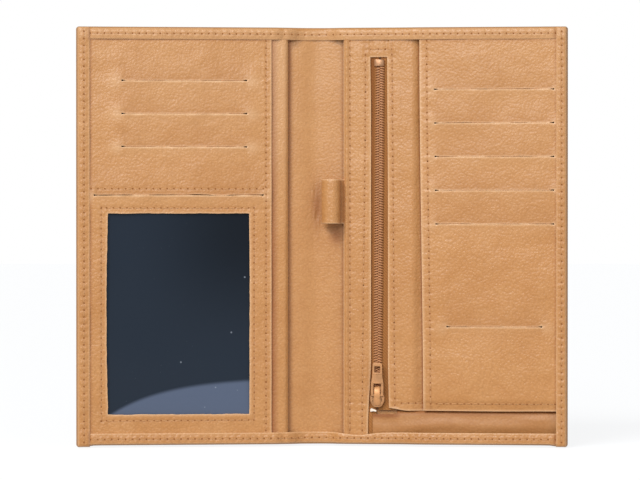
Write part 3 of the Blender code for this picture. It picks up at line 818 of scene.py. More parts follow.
class Paint:
    """One material's node tree."""

    def __init__(self, name):
        self.material = bpy.data.materials.new(name)
        self.material.use_nodes = True
        self.tree = self.material.node_tree
        self.shader = self.tree.nodes["Principled BSDF"]
        self.place = self.add("ShaderNodeTexCoord", {}, {}, "Object")

    def add(self, kind, settings, values, output=0):
        """Add a node: settings first, then its sockets' values or links."""
        node = self.tree.nodes.new(kind)
        for key, setting in settings.items():
            setattr(node, key, setting)
        for key, value in values.items():
            self.feed(node.inputs[key], value)
        return Value(self, node.outputs[output])

    def feed(self, socket, value):
        """Link a socket, or set it."""
        if isinstance(value, Value):
            self.tree.links.new(value.socket, socket)
        elif hasattr(value, "__len__") and len(value) == 3 and socket.type == "RGBA":
            socket.default_value = (*value, 1.0)
        else:
            socket.default_value = value

    def set(self, **values):
        """Set or link sockets of the shader by name."""
        for key, value in values.items():
            self.feed(self.shader.inputs[key.replace("_", " ")], value)

    def scaled(self, factors):
        """Object position multiplied by a vector."""
        return self.add("ShaderNodeVectorMath", {"operation": "MULTIPLY"},
                        {0: self.place, 1: factors})

    def mix(self, share, first, second):
        """Blend two colours."""
        return self.add("ShaderNodeMix", {"data_type": "RGBA"},
                        {0: share, 6: first, 7: second}, 2)

    def cloud(self, scale, detail=2.0, vector=None, rough=0.5):
        """Noise of a given scale."""
        return self.add("ShaderNodeTexNoise", {},
                        {"Vector": vector or self.place, "Scale": scale,
                         "Detail": detail, "Roughness": rough})

    def cells(self, scale, feature="F1"):
        """Voronoi cells of a given scale."""
        return self.add("ShaderNodeTexVoronoi", {"feature": feature},
                        {"Vector": self.place, "Scale": scale}, "Distance")

    def bands(self, direction, scale, distortion, detail, vector=None):
        """Parallel threads running one way."""
        return self.add("ShaderNodeTexWave", {"wave_type": "BANDS", "bands_direction": direction},
                        {"Vector": vector or self.place, "Scale": scale,
                         "Distortion": distortion, "Detail": detail}, 1)

    def mark(self, name):
        """The amount of a mark of wear on the mesh."""
        return self.add("ShaderNodeAttribute", {"attribute_name": name}, {}, "Fac")

    def bump(self, height, strength, distance):
        """Feed a bump to the shader's normal."""
        normal = self.add("ShaderNodeBump", {}, {"Strength": strength, "Distance": distance,
                                                 "Height": height})
        self.feed(self.shader.inputs["Normal"], normal)

    def axis(self, name):
        """One coordinate of the object position."""
        return self.add("ShaderNodeSeparateXYZ", {}, {0: self.place}, name)


def shade(colour, factor):
    """Scale a colour."""
    return tuple(min(1.0, c * factor) for c in colour)


def tinted(colour, red, green, blue):
    """Scale a colour's red, green and blue apart."""
    return colour[0] * red, colour[1] * green, colour[2] * blue


def leather_skin(name, tint=1.0, rough=0.0, grain=1.0):
    """Fine-grained finished leather: pebbled bump, mottled tan, pale edges partly painted highlight,
    painted shade and a painted top sheen.
    """
    look = bpy.context.scene.wallet_leather
    paint = Paint(name)
    base = tuple(c * tint for c in look.colour)
    blotch = paint.cloud(34.0, 3.0)
    drift = paint.cloud(110.0, 3.0, paint.scaled((1.0, 1.0, 1.7)))
    pores = paint.cloud(1250.0, 2.0)
    pebbles = paint.cells(900.0, "SMOOTH_F1")
    creases = paint.cloud(330.0, 4.0, rough=0.7)
    painted_shade = paint.mark("painted_shade")
    lighter_tone = paint.mark("lighter_tone")
    warm = paint.mix(blotch.step(0.3, 0.7) * look.mottle, shade(base, 1.06),
                     tinted(base, 0.91, 0.82, 0.68))
    tone = paint.mix(drift.step(0.4, 0.72) * 0.34, warm,
                     tinted(base, 1.12, 1.2, 1.36))
    tone = paint.mix(pebbles.step(0.2, 0.7) * 0.24, tone,
                     tinted(base, 0.7, 0.6, 0.46))
    tone = paint.mix(pores.step(0.52, 0.7) * 0.14, tone,
                     tinted(base, 1.2, 1.32, 1.5))
    # painted sheen: the leather is mixed paler and bluer towards the top of the wallet, where the
    # light's highlight falls
    high = paint.axis("Z").step(0.07, 0.21)
    tone = paint.mix(high * 0.13, tone, tinted(base, 1.15, 1.5, 2.1))
    # painted shade: darker, redder leather where the mesh marks shade at seams, edges and under raised
    # layers
    tone = paint.mix(painted_shade, tone, tinted(base, 0.48, 0.26, 0.09))
    # pale leather where the mesh marks it: partly the raw edge's own colour, partly painted highlight
    # on edges, lips and upper parts
    tone = paint.mix(lighter_tone * 0.7, tone, (0.80, 0.52, 0.30))
    height = (1.0 - pebbles) * 0.8 + creases * 0.42 + pores * 0.4
    paint.set(Base_Color=tone, Roughness=look.roughness + rough + creases * 0.14 + painted_shade * 0.3,
              Specular_IOR_Level=0.5, Sheen_Weight=0.04)
    paint.bump(height, look.grain * grain, 0.00023)
    return paint.material


def thread_skin():
    """Twisted polyester thread."""
    look = bpy.context.scene.wallet_stitching
    paint = Paint("sewing_thread")
    strands = paint.cloud(1500.0, 1.0)
    paint.set(Base_Color=paint.mix(strands, shade(look.colour, 0.82), shade(look.colour, 1.08)),
              Roughness=0.55, Sheen_Weight=0.15)
    paint.bump(strands, 0.5, 0.0002)
    return paint.material


def needle_hole_skin():
    """Shadowed needle holes."""
    look = bpy.context.scene.wallet_leather
    paint = Paint("needle_hole")
    speck = paint.cloud(800.0, 1.0)
    base = look.colour
    paint.set(Base_Color=paint.mix(speck, tinted(base, 0.46, 0.34, 0.22),
                                   tinted(base, 0.64, 0.52, 0.40)),
              Roughness=0.9)
    return paint.material


def woven_skin(name, colour):
    """Plain weave: two crossed sets of threads."""
    paint = Paint(name)
    warp, weft = (paint.bands(way, 1100.0 / 3.0, 0.4, 1.0) for way in "XZ")
    cloth = warp * 0.5 + weft * 0.5
    patch = paint.cloud(60.0, 3.0)
    tone = paint.mix(cloth, shade(colour, 0.7), shade(colour, 1.12))
    paint.set(Base_Color=paint.mix(patch * 0.35, tone, shade(colour, 0.8)), Roughness=0.88,
              Sheen_Weight=0.2)
    paint.bump(cloth, 0.6, 0.0002)
    return paint.material


def tape_skin():
    """Zip tape: diagonal twill, with painted shade where it runs under the leather's lip."""
    look = bpy.context.scene.wallet_zip
    paint = Paint("zip_tape_cloth")
    twill = paint.bands("DIAGONAL", 420.0, 0.8, 2.0, paint.scaled((1.0, 0.0, 1.0)))
    patch = paint.cloud(160.0, 3.0)
    tone = paint.mix(twill, shade(look.tape_colour, 0.86), shade(look.tape_colour, 1.1))
    tone = paint.mix(patch * 0.4, tone, shade(look.tape_colour, 0.75))
    dark = tinted(look.tape_colour, 0.42, 0.28, 0.14)
    # painted shade: the tape mixed darker where the mesh marks the lip's shadow
    paint.set(Base_Color=paint.mix(paint.mark("painted_shade"), tone, dark), Roughness=0.85,
              Specular_IOR_Level=0.3)
    paint.bump(twill, 0.5, 0.0002)
    return paint.material


def coil_skin():
    """Dyed nylon of the zip coil."""
    look = bpy.context.scene.wallet_zip
    paint = Paint("zip_nylon")
    lighter_tone = paint.cloud(300.0, 2.0)
    paint.set(Base_Color=paint.mix(lighter_tone, shade(look.coil_colour, 0.85), shade(look.coil_colour, 1.2)),
              Roughness=0.36 + lighter_tone * 0.1)
    paint.bump(paint.cloud(2400.0, 1.0), 0.15, 0.0001)
    return paint.material


def metal_skin(name, colour, rough, metal=0.25):
    """Lacquered die-cast metal with small chips and rubbed spots."""
    paint = Paint(name)
    mottled = paint.cloud(350.0, 3.0)
    chips = paint.cloud(1400.0, 4.0, rough=0.7)
    tone = paint.mix(mottled.step(0.3, 0.7), shade(colour, 0.86), shade(colour, 1.12))
    paler_patches = chips.step(0.62, 0.72)
    tone = paint.mix(paler_patches * 0.5, tone, shade(colour, 1.5))
    paint.set(Base_Color=tone, Roughness=rough + mottled * 0.2, Metallic=metal,
              Coat_Weight=0.15, Coat_Roughness=0.35)
    paint.bump(mottled + chips * 0.5, 0.35, 0.0002)
    return paint.material


def lacquer_skin(name, factor, rough=0.4):
    """The zip's lacquer, lighter or darker by a factor."""
    return metal_skin(name, shade(bpy.context.scene.wallet_zip.metal_colour, factor), rough)


def film_skin():
    """Clear window film with dust, a painted reflection paler below an arc near the lower edge, and
    painted shade towards the top right.
    """
    look = bpy.context.scene.wallet_window
    paint = Paint("window_clear_film")
    x0, x1, z0 = (value * MM for value in WINDOW[:3])
    across = paint.axis("X")
    up = paint.axis("Z")
    # painted reflection: paler below an arc rising from the lower left corner
    rise = 1.0 - paint.add("ShaderNodeMath", {"operation": "EXPONENT"},
                           {0: (x0 - across) / (27.0 * MM)})
    arc = up - (z0 - 1.2 * MM) - rise * (18.5 * MM)
    sheen = 1.0 - arc.step(-0.0012, 0.0012)
    specks = 1.0 - paint.cells(95.0).step(0.02, 0.055)
    fine_specks = 1.0 - paint.cells(330.0).step(0.03, 0.06)
    patches = paint.cloud(26.0, 2.0).step(0.45, 0.7)
    # painted shade: the film darker towards the right and the top
    painted_shade_top_right = paint.mix(((across - x0) / (x1 - x0)).step(0.1, 1.0) * (up - z0).step(0.02, 0.09),
                     look.film_colour, shade(look.film_colour, 0.42))
    tone = paint.mix(sheen, painted_shade_top_right, look.painted_reflection_colour)
    dust = specks * 0.5 + fine_specks * patches * 0.25
    tone = paint.mix(dust, tone, (0.3, 0.34, 0.4))
    paint.set(Base_Color=tone, Roughness=0.16 + dust * 0.4, Specular_IOR_Level=0.2)
    paint.bump(paint.cloud(45.0, 2.0), 0.1, 0.0008)
    return paint.material


def board_skin():
    """Grey stiffening board."""
    paint = Paint("grey_board")
    fleck = paint.cloud(500.0, 4.0)
    paint.set(Base_Color=paint.mix(fleck, (0.2, 0.18, 0.15), (0.32, 0.29, 0.25)), Roughness=0.9)
    paint.bump(fleck, 0.3, 0.0003)
    return paint.material


MAKERS = {
    "cover": lambda: leather_skin("cover_leather_fine", 0.985),
    "panel": lambda: leather_skin("panel_leather_fine"),
    "pouch": lambda: leather_skin("pouch_leather_fine", 0.99),
    "lining": lambda: leather_skin("lining_leather_fine", 0.985, 0.03, 0.8),
    "gusset": lambda: leather_skin("gusset_leather_fine", 0.93, 0.08, 0.6),
    "thread": thread_skin,
    "hole": needle_hole_skin,
    "tape": tape_skin,
    "coil": coil_skin,
    "film": film_skin,
    "board": board_skin,
    "cloth": lambda: woven_skin("pocket_cloth_brown", (0.16, 0.075, 0.03)),
    "navy": lambda: woven_skin("window_cloth_navy", (0.02, 0.027, 0.045)),
    "stop": lambda: metal_skin("end_stop_metal", (0.46, 0.24, 0.12), 0.25, 0.5),
    "cream": lambda: metal_skin("start_stop_cream", (0.85, 0.74, 0.62), 0.45, 0.0),
    "slider": lambda: lacquer_skin("slider_lacquer", 1.0),
    # painted highlight: the bridge uses the slider's lacquer made lighter
    "bridge": lambda: lacquer_skin("bridge_lacquer_lit", 1.35, 0.36),
    "tab": lambda: lacquer_skin("pull_tab_lacquer", 1.02),
}
SKINS = {}


def skin(name):
    """A finish by name, made the first time it is asked for."""
    if name not in SKINS:
        SKINS[name] = MAKERS[name]()
    return SKINS[name]


# ---------------------------------------------------------------- settings

class WalletLeather(bpy.types.PropertyGroup):
    colour: FloatVectorProperty(name="Colour", description="Tan of the leather",
                                subtype="COLOR", default=(0.500, 0.234, 0.077), min=0, max=1)
    roughness: FloatProperty(name="Roughness", description="Dullness of the finish",
                             default=0.30, min=0, max=1, subtype="FACTOR")
    grain: FloatProperty(name="Grain", description="Depth of the pebbled grain",
                         default=0.9, min=0, max=1, subtype="FACTOR")
    mottle: FloatProperty(name="Mottle", description="Strength of the uneven dye",
                          default=0.5, min=0, max=1, subtype="FACTOR")


class WalletStitching(bpy.types.PropertyGroup):
    thickness: FloatProperty(name="Thread", description="Thickness of the thread",
                             default=0.00046, min=0.0001, unit="LENGTH")
    colour: FloatVectorProperty(name="Colour", description="Thread colour", subtype="COLOR",
                                default=(0.57, 0.29, 0.11), min=0, max=1)


class WalletZip(bpy.types.PropertyGroup):
    pitch: FloatProperty(name="Coil pitch", description="From one turn of the coil to the next",
                         default=0.00122, min=0.0005, unit="LENGTH")
    wire: FloatProperty(name="Coil wire", description="Thickness of the nylon wire",
                        default=0.00076, min=0.0002, unit="LENGTH")
    tape_colour: FloatVectorProperty(name="Tape", description="Colour of the zip tape",
                                     subtype="COLOR", default=(0.38, 0.155, 0.042), min=0, max=1)
    coil_colour: FloatVectorProperty(name="Coil", description="Colour of the coil",
                                     subtype="COLOR", default=(0.46, 0.205, 0.082), min=0, max=1)
    metal_colour: FloatVectorProperty(name="Metal", description="Lacquer on slider and tab",
                                      subtype="COLOR", default=(0.47, 0.225, 0.088), min=0, max=1)


class WalletWindow(bpy.types.PropertyGroup):
    film_colour: FloatVectorProperty(name="Film", description="Dark look of the window",
                                     subtype="COLOR", default=(0.0155, 0.0235, 0.037), min=0, max=1)
    # colour of the painted reflection on the window film
    painted_reflection_colour: FloatVectorProperty(name="Reflection", description="Paler bowed part of the film",
                                     subtype="COLOR", default=(0.088, 0.113, 0.172), min=0, max=1)


class WalletStage(bpy.types.PropertyGroup):
    distance: FloatProperty(name="Camera distance", description="From the wallet to the camera",
                            default=1.5, min=0.3, unit="LENGTH")
    view_width: FloatProperty(name="View width", description="Width seen at the wallet",
                              default=0.3046, min=0.05, unit="LENGTH")
    key: FloatProperty(name="Key light", description="Strength of the main soft light",
                       default=1.7, min=0)
    fill: FloatProperty(name="Fill light", description="Strength of the second soft light",
                        default=0.5, min=0)
    surround: FloatProperty(name="Surround", description="Light that the white room gives",
                            default=0.32, min=0)
    sheen: FloatProperty(name="Sheen light", description="Power of the lamp that the leather mirrors",
                         default=3.8, min=0)


# ---------------------------------------------------------------- cover

COVER_RINGS = ((14.0, 0.0), (9.0, 0.04), (5.5, 0.16), (4.2, 0.3), (3.4, 0.42), (2.6, 0.52),
               (1.7, 0.9), (0.9, 1.6), (0.35, 2.5), (0.08, 3.4), (0.0, 4.4))
COVER_FRONT_RINGS = ((0.02, 0.62), (0.2, 0.76), (0.55, 0.88), (1.1, 0.955), (1.7, 0.975),
                     (2.2, 0.955), (2.5, 0.93))


def cover_back(x, z):
    """Depth of the cover's back, pulled in along the stitches."""
    inset = min(HALF_WIDTH - abs(x), z, HEIGHT - z)
    rings = sorted(COVER_RINGS)
    depth = 0.0
    for (a, da), (b, db) in zip(rings, rings[1:]):
        if a <= inset <= b:
            depth = da + (db - da) * (inset - a) / (b - a)
    return depth + 0.12 * bell(inset - 3.6, 0.6)


def cover_shell():
    """Outer leather: the back, rolled round the rim to meet the turned edges."""
    inner = COVER_RINGS[0][0]
    xs = lines(-HALF_WIDTH + inner, HALF_WIDTH - inner, 3.2,
               [SPINE_HALF * (k / 8.0) for k in range(-8, 9)])
    zs = lines(inner, HEIGHT - inner, 3.6)
    corner_steps = 5

    def ring(inset, depth, share):
        round_corner = max(0.0, 1.4 - inset * 0.28) if inset < 5 else 0.0
        half_x = HALF_WIDTH - inset
        low, high = inset, HEIGHT - inset
        mid = (low + high) / 2
        out = []

        def height_at(x):
            return depth if share is None else share * hem_base(x)

        scale_x = (half_x - round_corner) / (HALF_WIDTH - inner)
        scale_z = ((high - low) / 2 - round_corner) / (HEIGHT / 2 - inner)
        row = [(x * scale_x, low) for x in xs]
        column = [(half_x, mid + (z - HEIGHT / 2) * scale_z) for z in zs]
        corners = ((half_x - round_corner, low + round_corner, -90),
                   (half_x - round_corner, high - round_corner, 0),
                   (-half_x + round_corner, high - round_corner, 90),
                   (-half_x + round_corner, low + round_corner, 180))
        stretches = (row, column, [(x, high) for x, _ in reversed(row)],
                     [(-x, z) for x, z in reversed(column)])
        for stretch, (cx, cz, start) in zip(stretches, corners):
            out += stretch
            for k in range(1, corner_steps):
                angle = math.radians(start + 90 * k / corner_steps)
                out.append((cx + round_corner * math.cos(angle), cz + round_corner * math.sin(angle)))
        placed = []
        for x, z in out:
            base = height_at(x)
            if share is None:
                base *= 0.08 + 0.92 * hem_base(x) / HEM_FRONT if inset < 2 else 1.0
                base += 0.12 * bell(inset - 3.6, 0.6)
            wave = ripple(x, z, 31.0, 30.0, 0.14) * ease(inset / 6.0)
            placed.append(stand(x, base + wave, lifted(x, z)))
        return placed

    rings = [ring(inset, depth, None) for inset, depth in COVER_RINGS]
    rings += [ring(inset, 0.0, share) for inset, share in COVER_FRONT_RINGS]
    points = [point for loop in rings for point in loop]
    faces = ring_faces(len(rings), len(rings[0]))
    base = len(points)
    for z in zs:
        for x in xs:
            points.append(stand(x, ripple(x, z, 31.0, 30.0, 0.14), z))
    wide = len(xs)
    for j in range(len(zs) - 1):
        for i in range(wide - 1):
            a = base + j * wide + i
            faces.append((a, a + 1, a + wide + 1, a + wide))
    made = new_object("cover_shell", points, faces, skin("cover"), edge_angle=80)
    thicken = made.modifiers.new("leather", "SOLIDIFY")
    thicken.thickness = LEATHER * MM
    thicken.offset = -1.0
    bpy.context.view_layer.update()
    apply_modifiers(made)
    smooth_by_angle(made, 80.0)
    return made


def hem_strip(name, xs, zs, front, side, warp=None):
    """One turned edge of the cover, lying on the inside."""
    # painted shade at rows and laps, pale edges partly painted highlight, and painted highlight on all
    # above the top hem's lower edge
    return cut_sheet(name, xs, zs, front, LEATHER, side, skin("cover"), radius=0.4,
                     warp=warp, painted_shade=hem_painted_shade, lighter_tone=0.6,
                     paler_patches=lambda x, z: 0.22 if z > HEM_TOP else 0.0)


def hem_painted_shade(x, z):
    """Painted shade along the hems' stitches and at the corner laps."""
    rows = row_painted_shade(z - 196.7 if abs(x) < 110.6 else 9, z - 3.8 if abs(x) < 110.6 else 9,
                       x + 113.4, x - 114.1)
    corner = 0.6 * bell(abs(x) - 110.9, 0.6) if z < 7 or z > 193 else 0.0
    return max(rows, corner)


class WALLET_OT_cover(bpy.types.Operator):
    """Outer cover with its four turned edges"""
    bl_idname = "wallet.cover"
    bl_label = "Cover"

    def execute(self, context):
        shell = cover_shell()
        settle_across(shell, ["cover_left", "cover_right", "spine_cover"])
        across = lines(-112.6, 113.4, FINE, [-110.2 + FINE * k for k in range(202)])
        top = hem_strip("hem_top", across,
                        lines(HEM_TOP, 199.3, 0.7, rim(HEM_TOP, 199.3) + stitched(TOP_ROW)),
                        hem_top_front, ACROSS)
        settle_across(top, [])
        bottom = hem_strip("hem_bottom", across,
                           lines(0.7, HEM_BOTTOM, 0.7, rim(0.7, HEM_BOTTOM) + stitched(BOTTOM_ROW)),
                           hem_bottom_front, ACROSS, bottom_warp)
        settle_across(bottom, [])
        up = lines(0.25, 199.75, FINE, [0.5, 0.9, 1.4, 2.0, 199.5, 199.1, 198.6, 198.0]
                   + [2.5 + FINE * k for k in range(178)])
        left = hem_strip("hem_left",
                         lines(-116.3, HEM_LEFT, 0.7, rim(-116.3, HEM_LEFT) + stitched(LEFT_ROW)),
                         up, hem_left_front, LEFT)
        settle(left, "left_half", [])
        right = hem_strip("hem_right",
                          lines(HEM_RIGHT, 116.3, 0.7, rim(HEM_RIGHT, 116.3) + stitched(RIGHT_ROW)),
                          up, hem_right_front, RIGHT)
        settle(right, "right_half", [])
        return {"FINISHED"}


# ---------------------------------------------------------------- linings

class WALLET_OT_linings(bpy.types.Operator):
    """Lining across the inside, pocket cloths, pouch bottom and boards"""
    bl_idname = "wallet.linings"
    bl_label = "Linings"

    def execute(self, context):
        xs = lines(-UNDER_HEM, UNDER_HEM, 3.0,
                   [SPINE_HALF * (k / 26.0) for k in range(-34, 27)])
        lining = cut_sheet("lining", xs, lines(1.6, 198.4, 1.6), lining_front, 0.4, ACROSS,
                           skin("lining"), radius=0.1, painted_shade=lining_painted_shade)
        settle_across(lining, ["lining_left", "lining_right", "spine_lining"])
        for side_name, side, body, slits, depth, low, under, rest in (
                ("left", LEFT, "left_half", LEFT_SLITS, BACKING_FRONT, WIDE_SLIT[2] + 3.3,
                 "bill_pocket_fold",
                 ["card_pocket_left_%d" % i for i in (1, 2, 3)]),
                ("right", RIGHT, "right_half", RIGHT_SLITS, 6.1, 22.0, "pouch_leather_front",
                 ["card_pocket_right_%d" % i for i in (1, 2, 3, 4, 5)] + ["small_pocket_right_1"])):
            x0, x1, top = slits[0]
            cloth = cut_sheet("pocket_cloth_" + side_name, lines(x0 - 1.0, x1 + 1.0, 4.0),
                              lines(low, top + 3.0, 4.0),
                              lambda x, z, d=depth: d - 0.1 + ripple(x, z, 40.0, 18.0, 0.08),
                              0.3, side, skin("cloth"), radius=0.05)
            settle(cloth, body, rest)
            (x1 - x0 + 2.0) * MM
            (top + 3.0 - low) * MM
        gusset = cut_sheet("pouch_gusset_fold",
                           lines(GUSSET_EDGE, UNDER_HEM, 2.0, beside(35.6, 0.2)),
                           lines(5.8, 22.1, 0.6, [15.2]), gusset_front, 0.6, RIGHT, skin("gusset"),
                           [(20.0, 35.6, 15.2, 30.0)], radius=0.2, painted_shade=gusset_painted_shade)
        settle(gusset, "right_half", ["pouch_gusset"])
        for node in ("stiffener_left", "stiffener_right"):
            dress(node, "board")
        return {"FINISHED"}


def gusset_front(x, z):
    """The pouch's folded bottom, with shallow lengthwise creases, lapping the left tape."""
    crease = math.sin((z - 8.0) * 0.95 + 1.6 * wobble(x / 24.0, 0.0, 9.0))
    wave = 0.5 * bell(x - 104.0, 9.0) * bell(z - 13.0, 1.6)
    lap = 0.7 * (1.0 - ease((x - 30.0) / 6.0))
    bulge = 0.7 * math.sin(math.pi * ease((z - 4.0) / 13.5)) * ease((x - 30.0) / 10.0)
    tuck = 1.3 * ease((z - 15.4) / 1.8)
    return 4.45 + lap + bulge + 0.12 * crease + wave + ripple(x, z, 44.0, 10.0, 0.1) - tuck


def gusset_painted_shade(x, z):
    """Painted shade up inside the pouch: the flap's shadow, shade beside the zip, and a little
    everywhere.
    """
    reach = 14.2 - 1.5 * bell(x - 72.0, 16.0) + 0.5 * math.sin(x / 9.0)
    under_flap = 0.5 * ease((z - reach) / 2.4)
    beside_zip = 0.8 * ease((z - 11.8) / 3.2) * (1.0 - ease((x - 34.0) / 6.0))
    return max(under_flap, beside_zip, 0.14)


def dress(node, finish):
    """Give a carried-over node its finish."""
    for material_slot in frame["nodes"][node].material_slots:
        material_slot.material = skin(finish)


# ---------------------------------------------------------------- left half

def window_warp(x, z):
    """Let the hand-cut window edges wander, the left one bowing out a little."""
    x, z = slit_warp(x, z, LEFT_SLITS) if z > 130 else slit_warp(x, z, [WIDE_SLIT], 0.34)
    gap = rect_gap(x, z, WINDOW)
    if gap > 3:
        return x, z
    x0, x1, z0, z1 = WINDOW
    fade = 1.0 - ease(gap / 3.0)
    rough_x = wobble(z / 2.2, x / 60.0, 50.0) + wobble(z / 9.0, 7.0, 52.0)
    rough_z = wobble(x / 2.2, z / 60.0, 51.0) + wobble(x / 9.0, 7.0, 53.0)
    bow = -0.7 * math.sin(math.pi * min(1.0, max(0.0, (z - z0) / (z1 - z0))))
    side = bow if x < (x0 + x1) / 2 else -0.3 * bow
    return x + (0.16 * rough_x + side) * fade, z + 0.17 * rough_z * fade


class WALLET_OT_left_half(bpy.types.Operator):
    """Banknote pocket, card and window panel, window film and its backing"""
    bl_idname = "wallet.left_half"
    bl_label = "Left half"

    def execute(self, context):
        # painted shade under the panel edge, pale edges partly painted highlight, and painted highlight
        # growing towards the top
        bill = cut_sheet("bill_pocket_fold",
                         lines(-UNDER_HEM, BILL_EDGE, 6.0,
                               [BILL_EDGE - 0.02 * k * k - 0.1 * k for k in range(1, 14)]
                               + [-26.5 + 0.3 * k for k in range(10)]),
                         lines(1.6, 198.4, 2.2), bill_front, 1.5, LEFT, skin("panel"),
                         radius=0.7, painted_shade=bill_painted_shade, lighter_tone=0.35,
                         paler_patches=lambda x, z: 0.3 * ease((z - 90.0) / 100.0))
        settle(bill, "left_half", ["bill_pocket_front"])
        slits = LEFT_SLITS + [WIDE_SLIT]
        columns, rows = slit_lines(slits)
        x0, x1, z0, z1 = WINDOW
        columns += rim(x1, PANEL_EDGE) + [x0, x0 - 0.07, x0 - 0.2, x0 - 0.45, x1]
        columns += stitched(PANEL_ROW, *WINDOW_ROWS[:2])
        rows += [z0, z0 - 0.07, z0 - 0.2, z0 - 0.45, z1, z1 + 0.07, z1 + 0.2, z1 + 0.45]
        rows += stitched(SEAM_ROW, *WINDOW_ROWS[2:])
        holes = slit_holes(slits) + [WINDOW]
        # painted shade from the panel's shade function, pale edges partly painted highlight, painted
        # highlight at the slits
        panel = cut_sheet("card_window_leather", lines(-UNDER_HEM, PANEL_EDGE, FINE, columns),
                          lines(1.6, 198.4, FINE, rows), left_panel_front, LEATHER, LEFT,
                          skin("panel"), holes, warp=window_warp, painted_shade=left_panel_painted_shade,
                          lighter_tone=0.8, paler_patches=lambda x, z: slit_painted_highlight(x, z, slits))
        settle(panel, "left_half", ["card_window_panel"])
        film = cut_sheet("window_clear_sheet", lines(x0 - 3.3, x1 + 3.3, 3.0),
                         lines(z0 - 3.0, z1 + 3.0, 3.0),
                         lambda x, z: FILM_FRONT - 0.15 + ripple(x, z, 60.0, 34.0, 0.22), 0.18,
                         LEFT, skin("film"), radius=0.03)
        settle(film, "left_half", ["window_film"])
        backing = cut_sheet("window_back_cloth", lines(-UNDER_HEM, -25.2, 5.0),
                            lines(1.8, 122.6, 5.0),
                            lambda x, z: BACKING_FRONT - 0.05 + ripple(x, z, 61.0, 20.0, 0.08),
                            0.3, LEFT, skin("navy"), radius=0.05)
        settle(backing, "left_half", ["window_pocket_back"])
        return {"FINISHED"}


# ---------------------------------------------------------------- right half

def pouch_warp(x, z):
    """Open the slot towards the bottom and curve the bottom edge."""
    left, right = slot_edges(z)
    if x < ZIP_X:
        x += (left - SLOT_LEFT) * (1.0 - ease((SLOT_LEFT - x) / 6.0))
    else:
        x += (right - SLOT_RIGHT) * (1.0 - ease((x - SLOT_RIGHT) / 6.0))
        rise = 1.3 * (1.0 - ease((x - 31.0) / 10.0)) - 0.1
        z += rise * (1.0 - ease((z - POUCH_BOTTOM) / 20.0))
    return x, z


class WALLET_OT_right_half(bpy.types.Operator):
    """Zipped pouch front and the card panel on it"""
    bl_idname = "wallet.right_half"
    bl_label = "Right half"

    def execute(self, context):
        columns = [SLOT_LEFT, SLOT_RIGHT, 13.0] + rim(POUCH_EDGE, SLOT_LEFT)
        columns += [SLOT_RIGHT + step for step in EDGE_STEPS]
        columns += [POUCH_EDGE + 0.35 * k for k in range(1, 12)]
        columns += [18.4 + 0.4 * k for k in range(7)] + [32.6 + 0.4 * k for k in range(7)]
        columns += [42.5 + 0.4 * k for k in range(18)]
        rows = [SLOT_TOP, POUCH_BOTTOM] + [SLOT_TOP + step for step in EDGE_STEPS]
        rows += [POUCH_BOTTOM + step for step in EDGE_STEPS]
        rows += stitched(SLOT_ROW, POUCH_LOW_ROW)
        slot = (SLOT_LEFT, SLOT_RIGHT, -5.0, SLOT_TOP)
        below = (ZIP_X, 200.0, -5.0, POUCH_BOTTOM)
        # painted shade from the pouch's shade function, and pale cut edges partly painted highlight
        pouch = cut_sheet("pouch_leather_front", lines(POUCH_EDGE, UNDER_HEM, FINE, columns),
                          lines(1.6, 198.4, FINE, rows), pouch_front, LEATHER, RIGHT,
                          skin("pouch"), [slot, below], warp=pouch_warp,
                          painted_shade=pouch_painted_shade, lighter_tone=0.95)
        settle(pouch, "right_half", ["pouch_front"])
        slits = RIGHT_SLITS + [SMALL_SLIT]
        columns, rows = slit_lines(slits)
        columns += rim(CARD_EDGE, UNDER_HEM) + [CARD_EDGE + 2.6 + 0.4 * k for k in range(6)]
        rows += rim(POUCH_BOTTOM, 198.4) + stitched(CARD_LOW_ROW)
        # painted shade from the card panel's shade function, pale edges partly painted highlight,
        # painted highlight at the slits
        panel = cut_sheet("card_panel_leather", lines(CARD_EDGE, UNDER_HEM, FINE, columns),
                          lines(POUCH_BOTTOM, 198.4, FINE, rows), card_panel_front, LEATHER,
                          RIGHT, skin("panel"), slit_holes(slits),
                          warp=card_warp, painted_shade=card_panel_painted_shade, lighter_tone=0.95,
                          paler_patches=lambda x, z: 0.7 * slit_painted_highlight(x, z, slits))
        settle(panel, "right_half", ["card_panel_right"])
        return {"FINISHED"}


def card_warp(x, z):
    """Lean the card panel's free edge and let its bottom edge sag."""
    x, z = slit_warp(x, z, RIGHT_SLITS + [SMALL_SLIT], 0.05)
    sag = 0.15 * math.sin(math.pi * ease((x - CARD_EDGE) / (UNDER_HEM - CARD_EDGE)))
    z -= sag * (1.0 - ease((z - POUCH_BOTTOM) / 14.0))
    return x + (card_edge(z) - CARD_EDGE) * (1.0 - ease((x - CARD_EDGE - 4.0) / 10.0)), z


# ---------------------------------------------------------------- pen loop

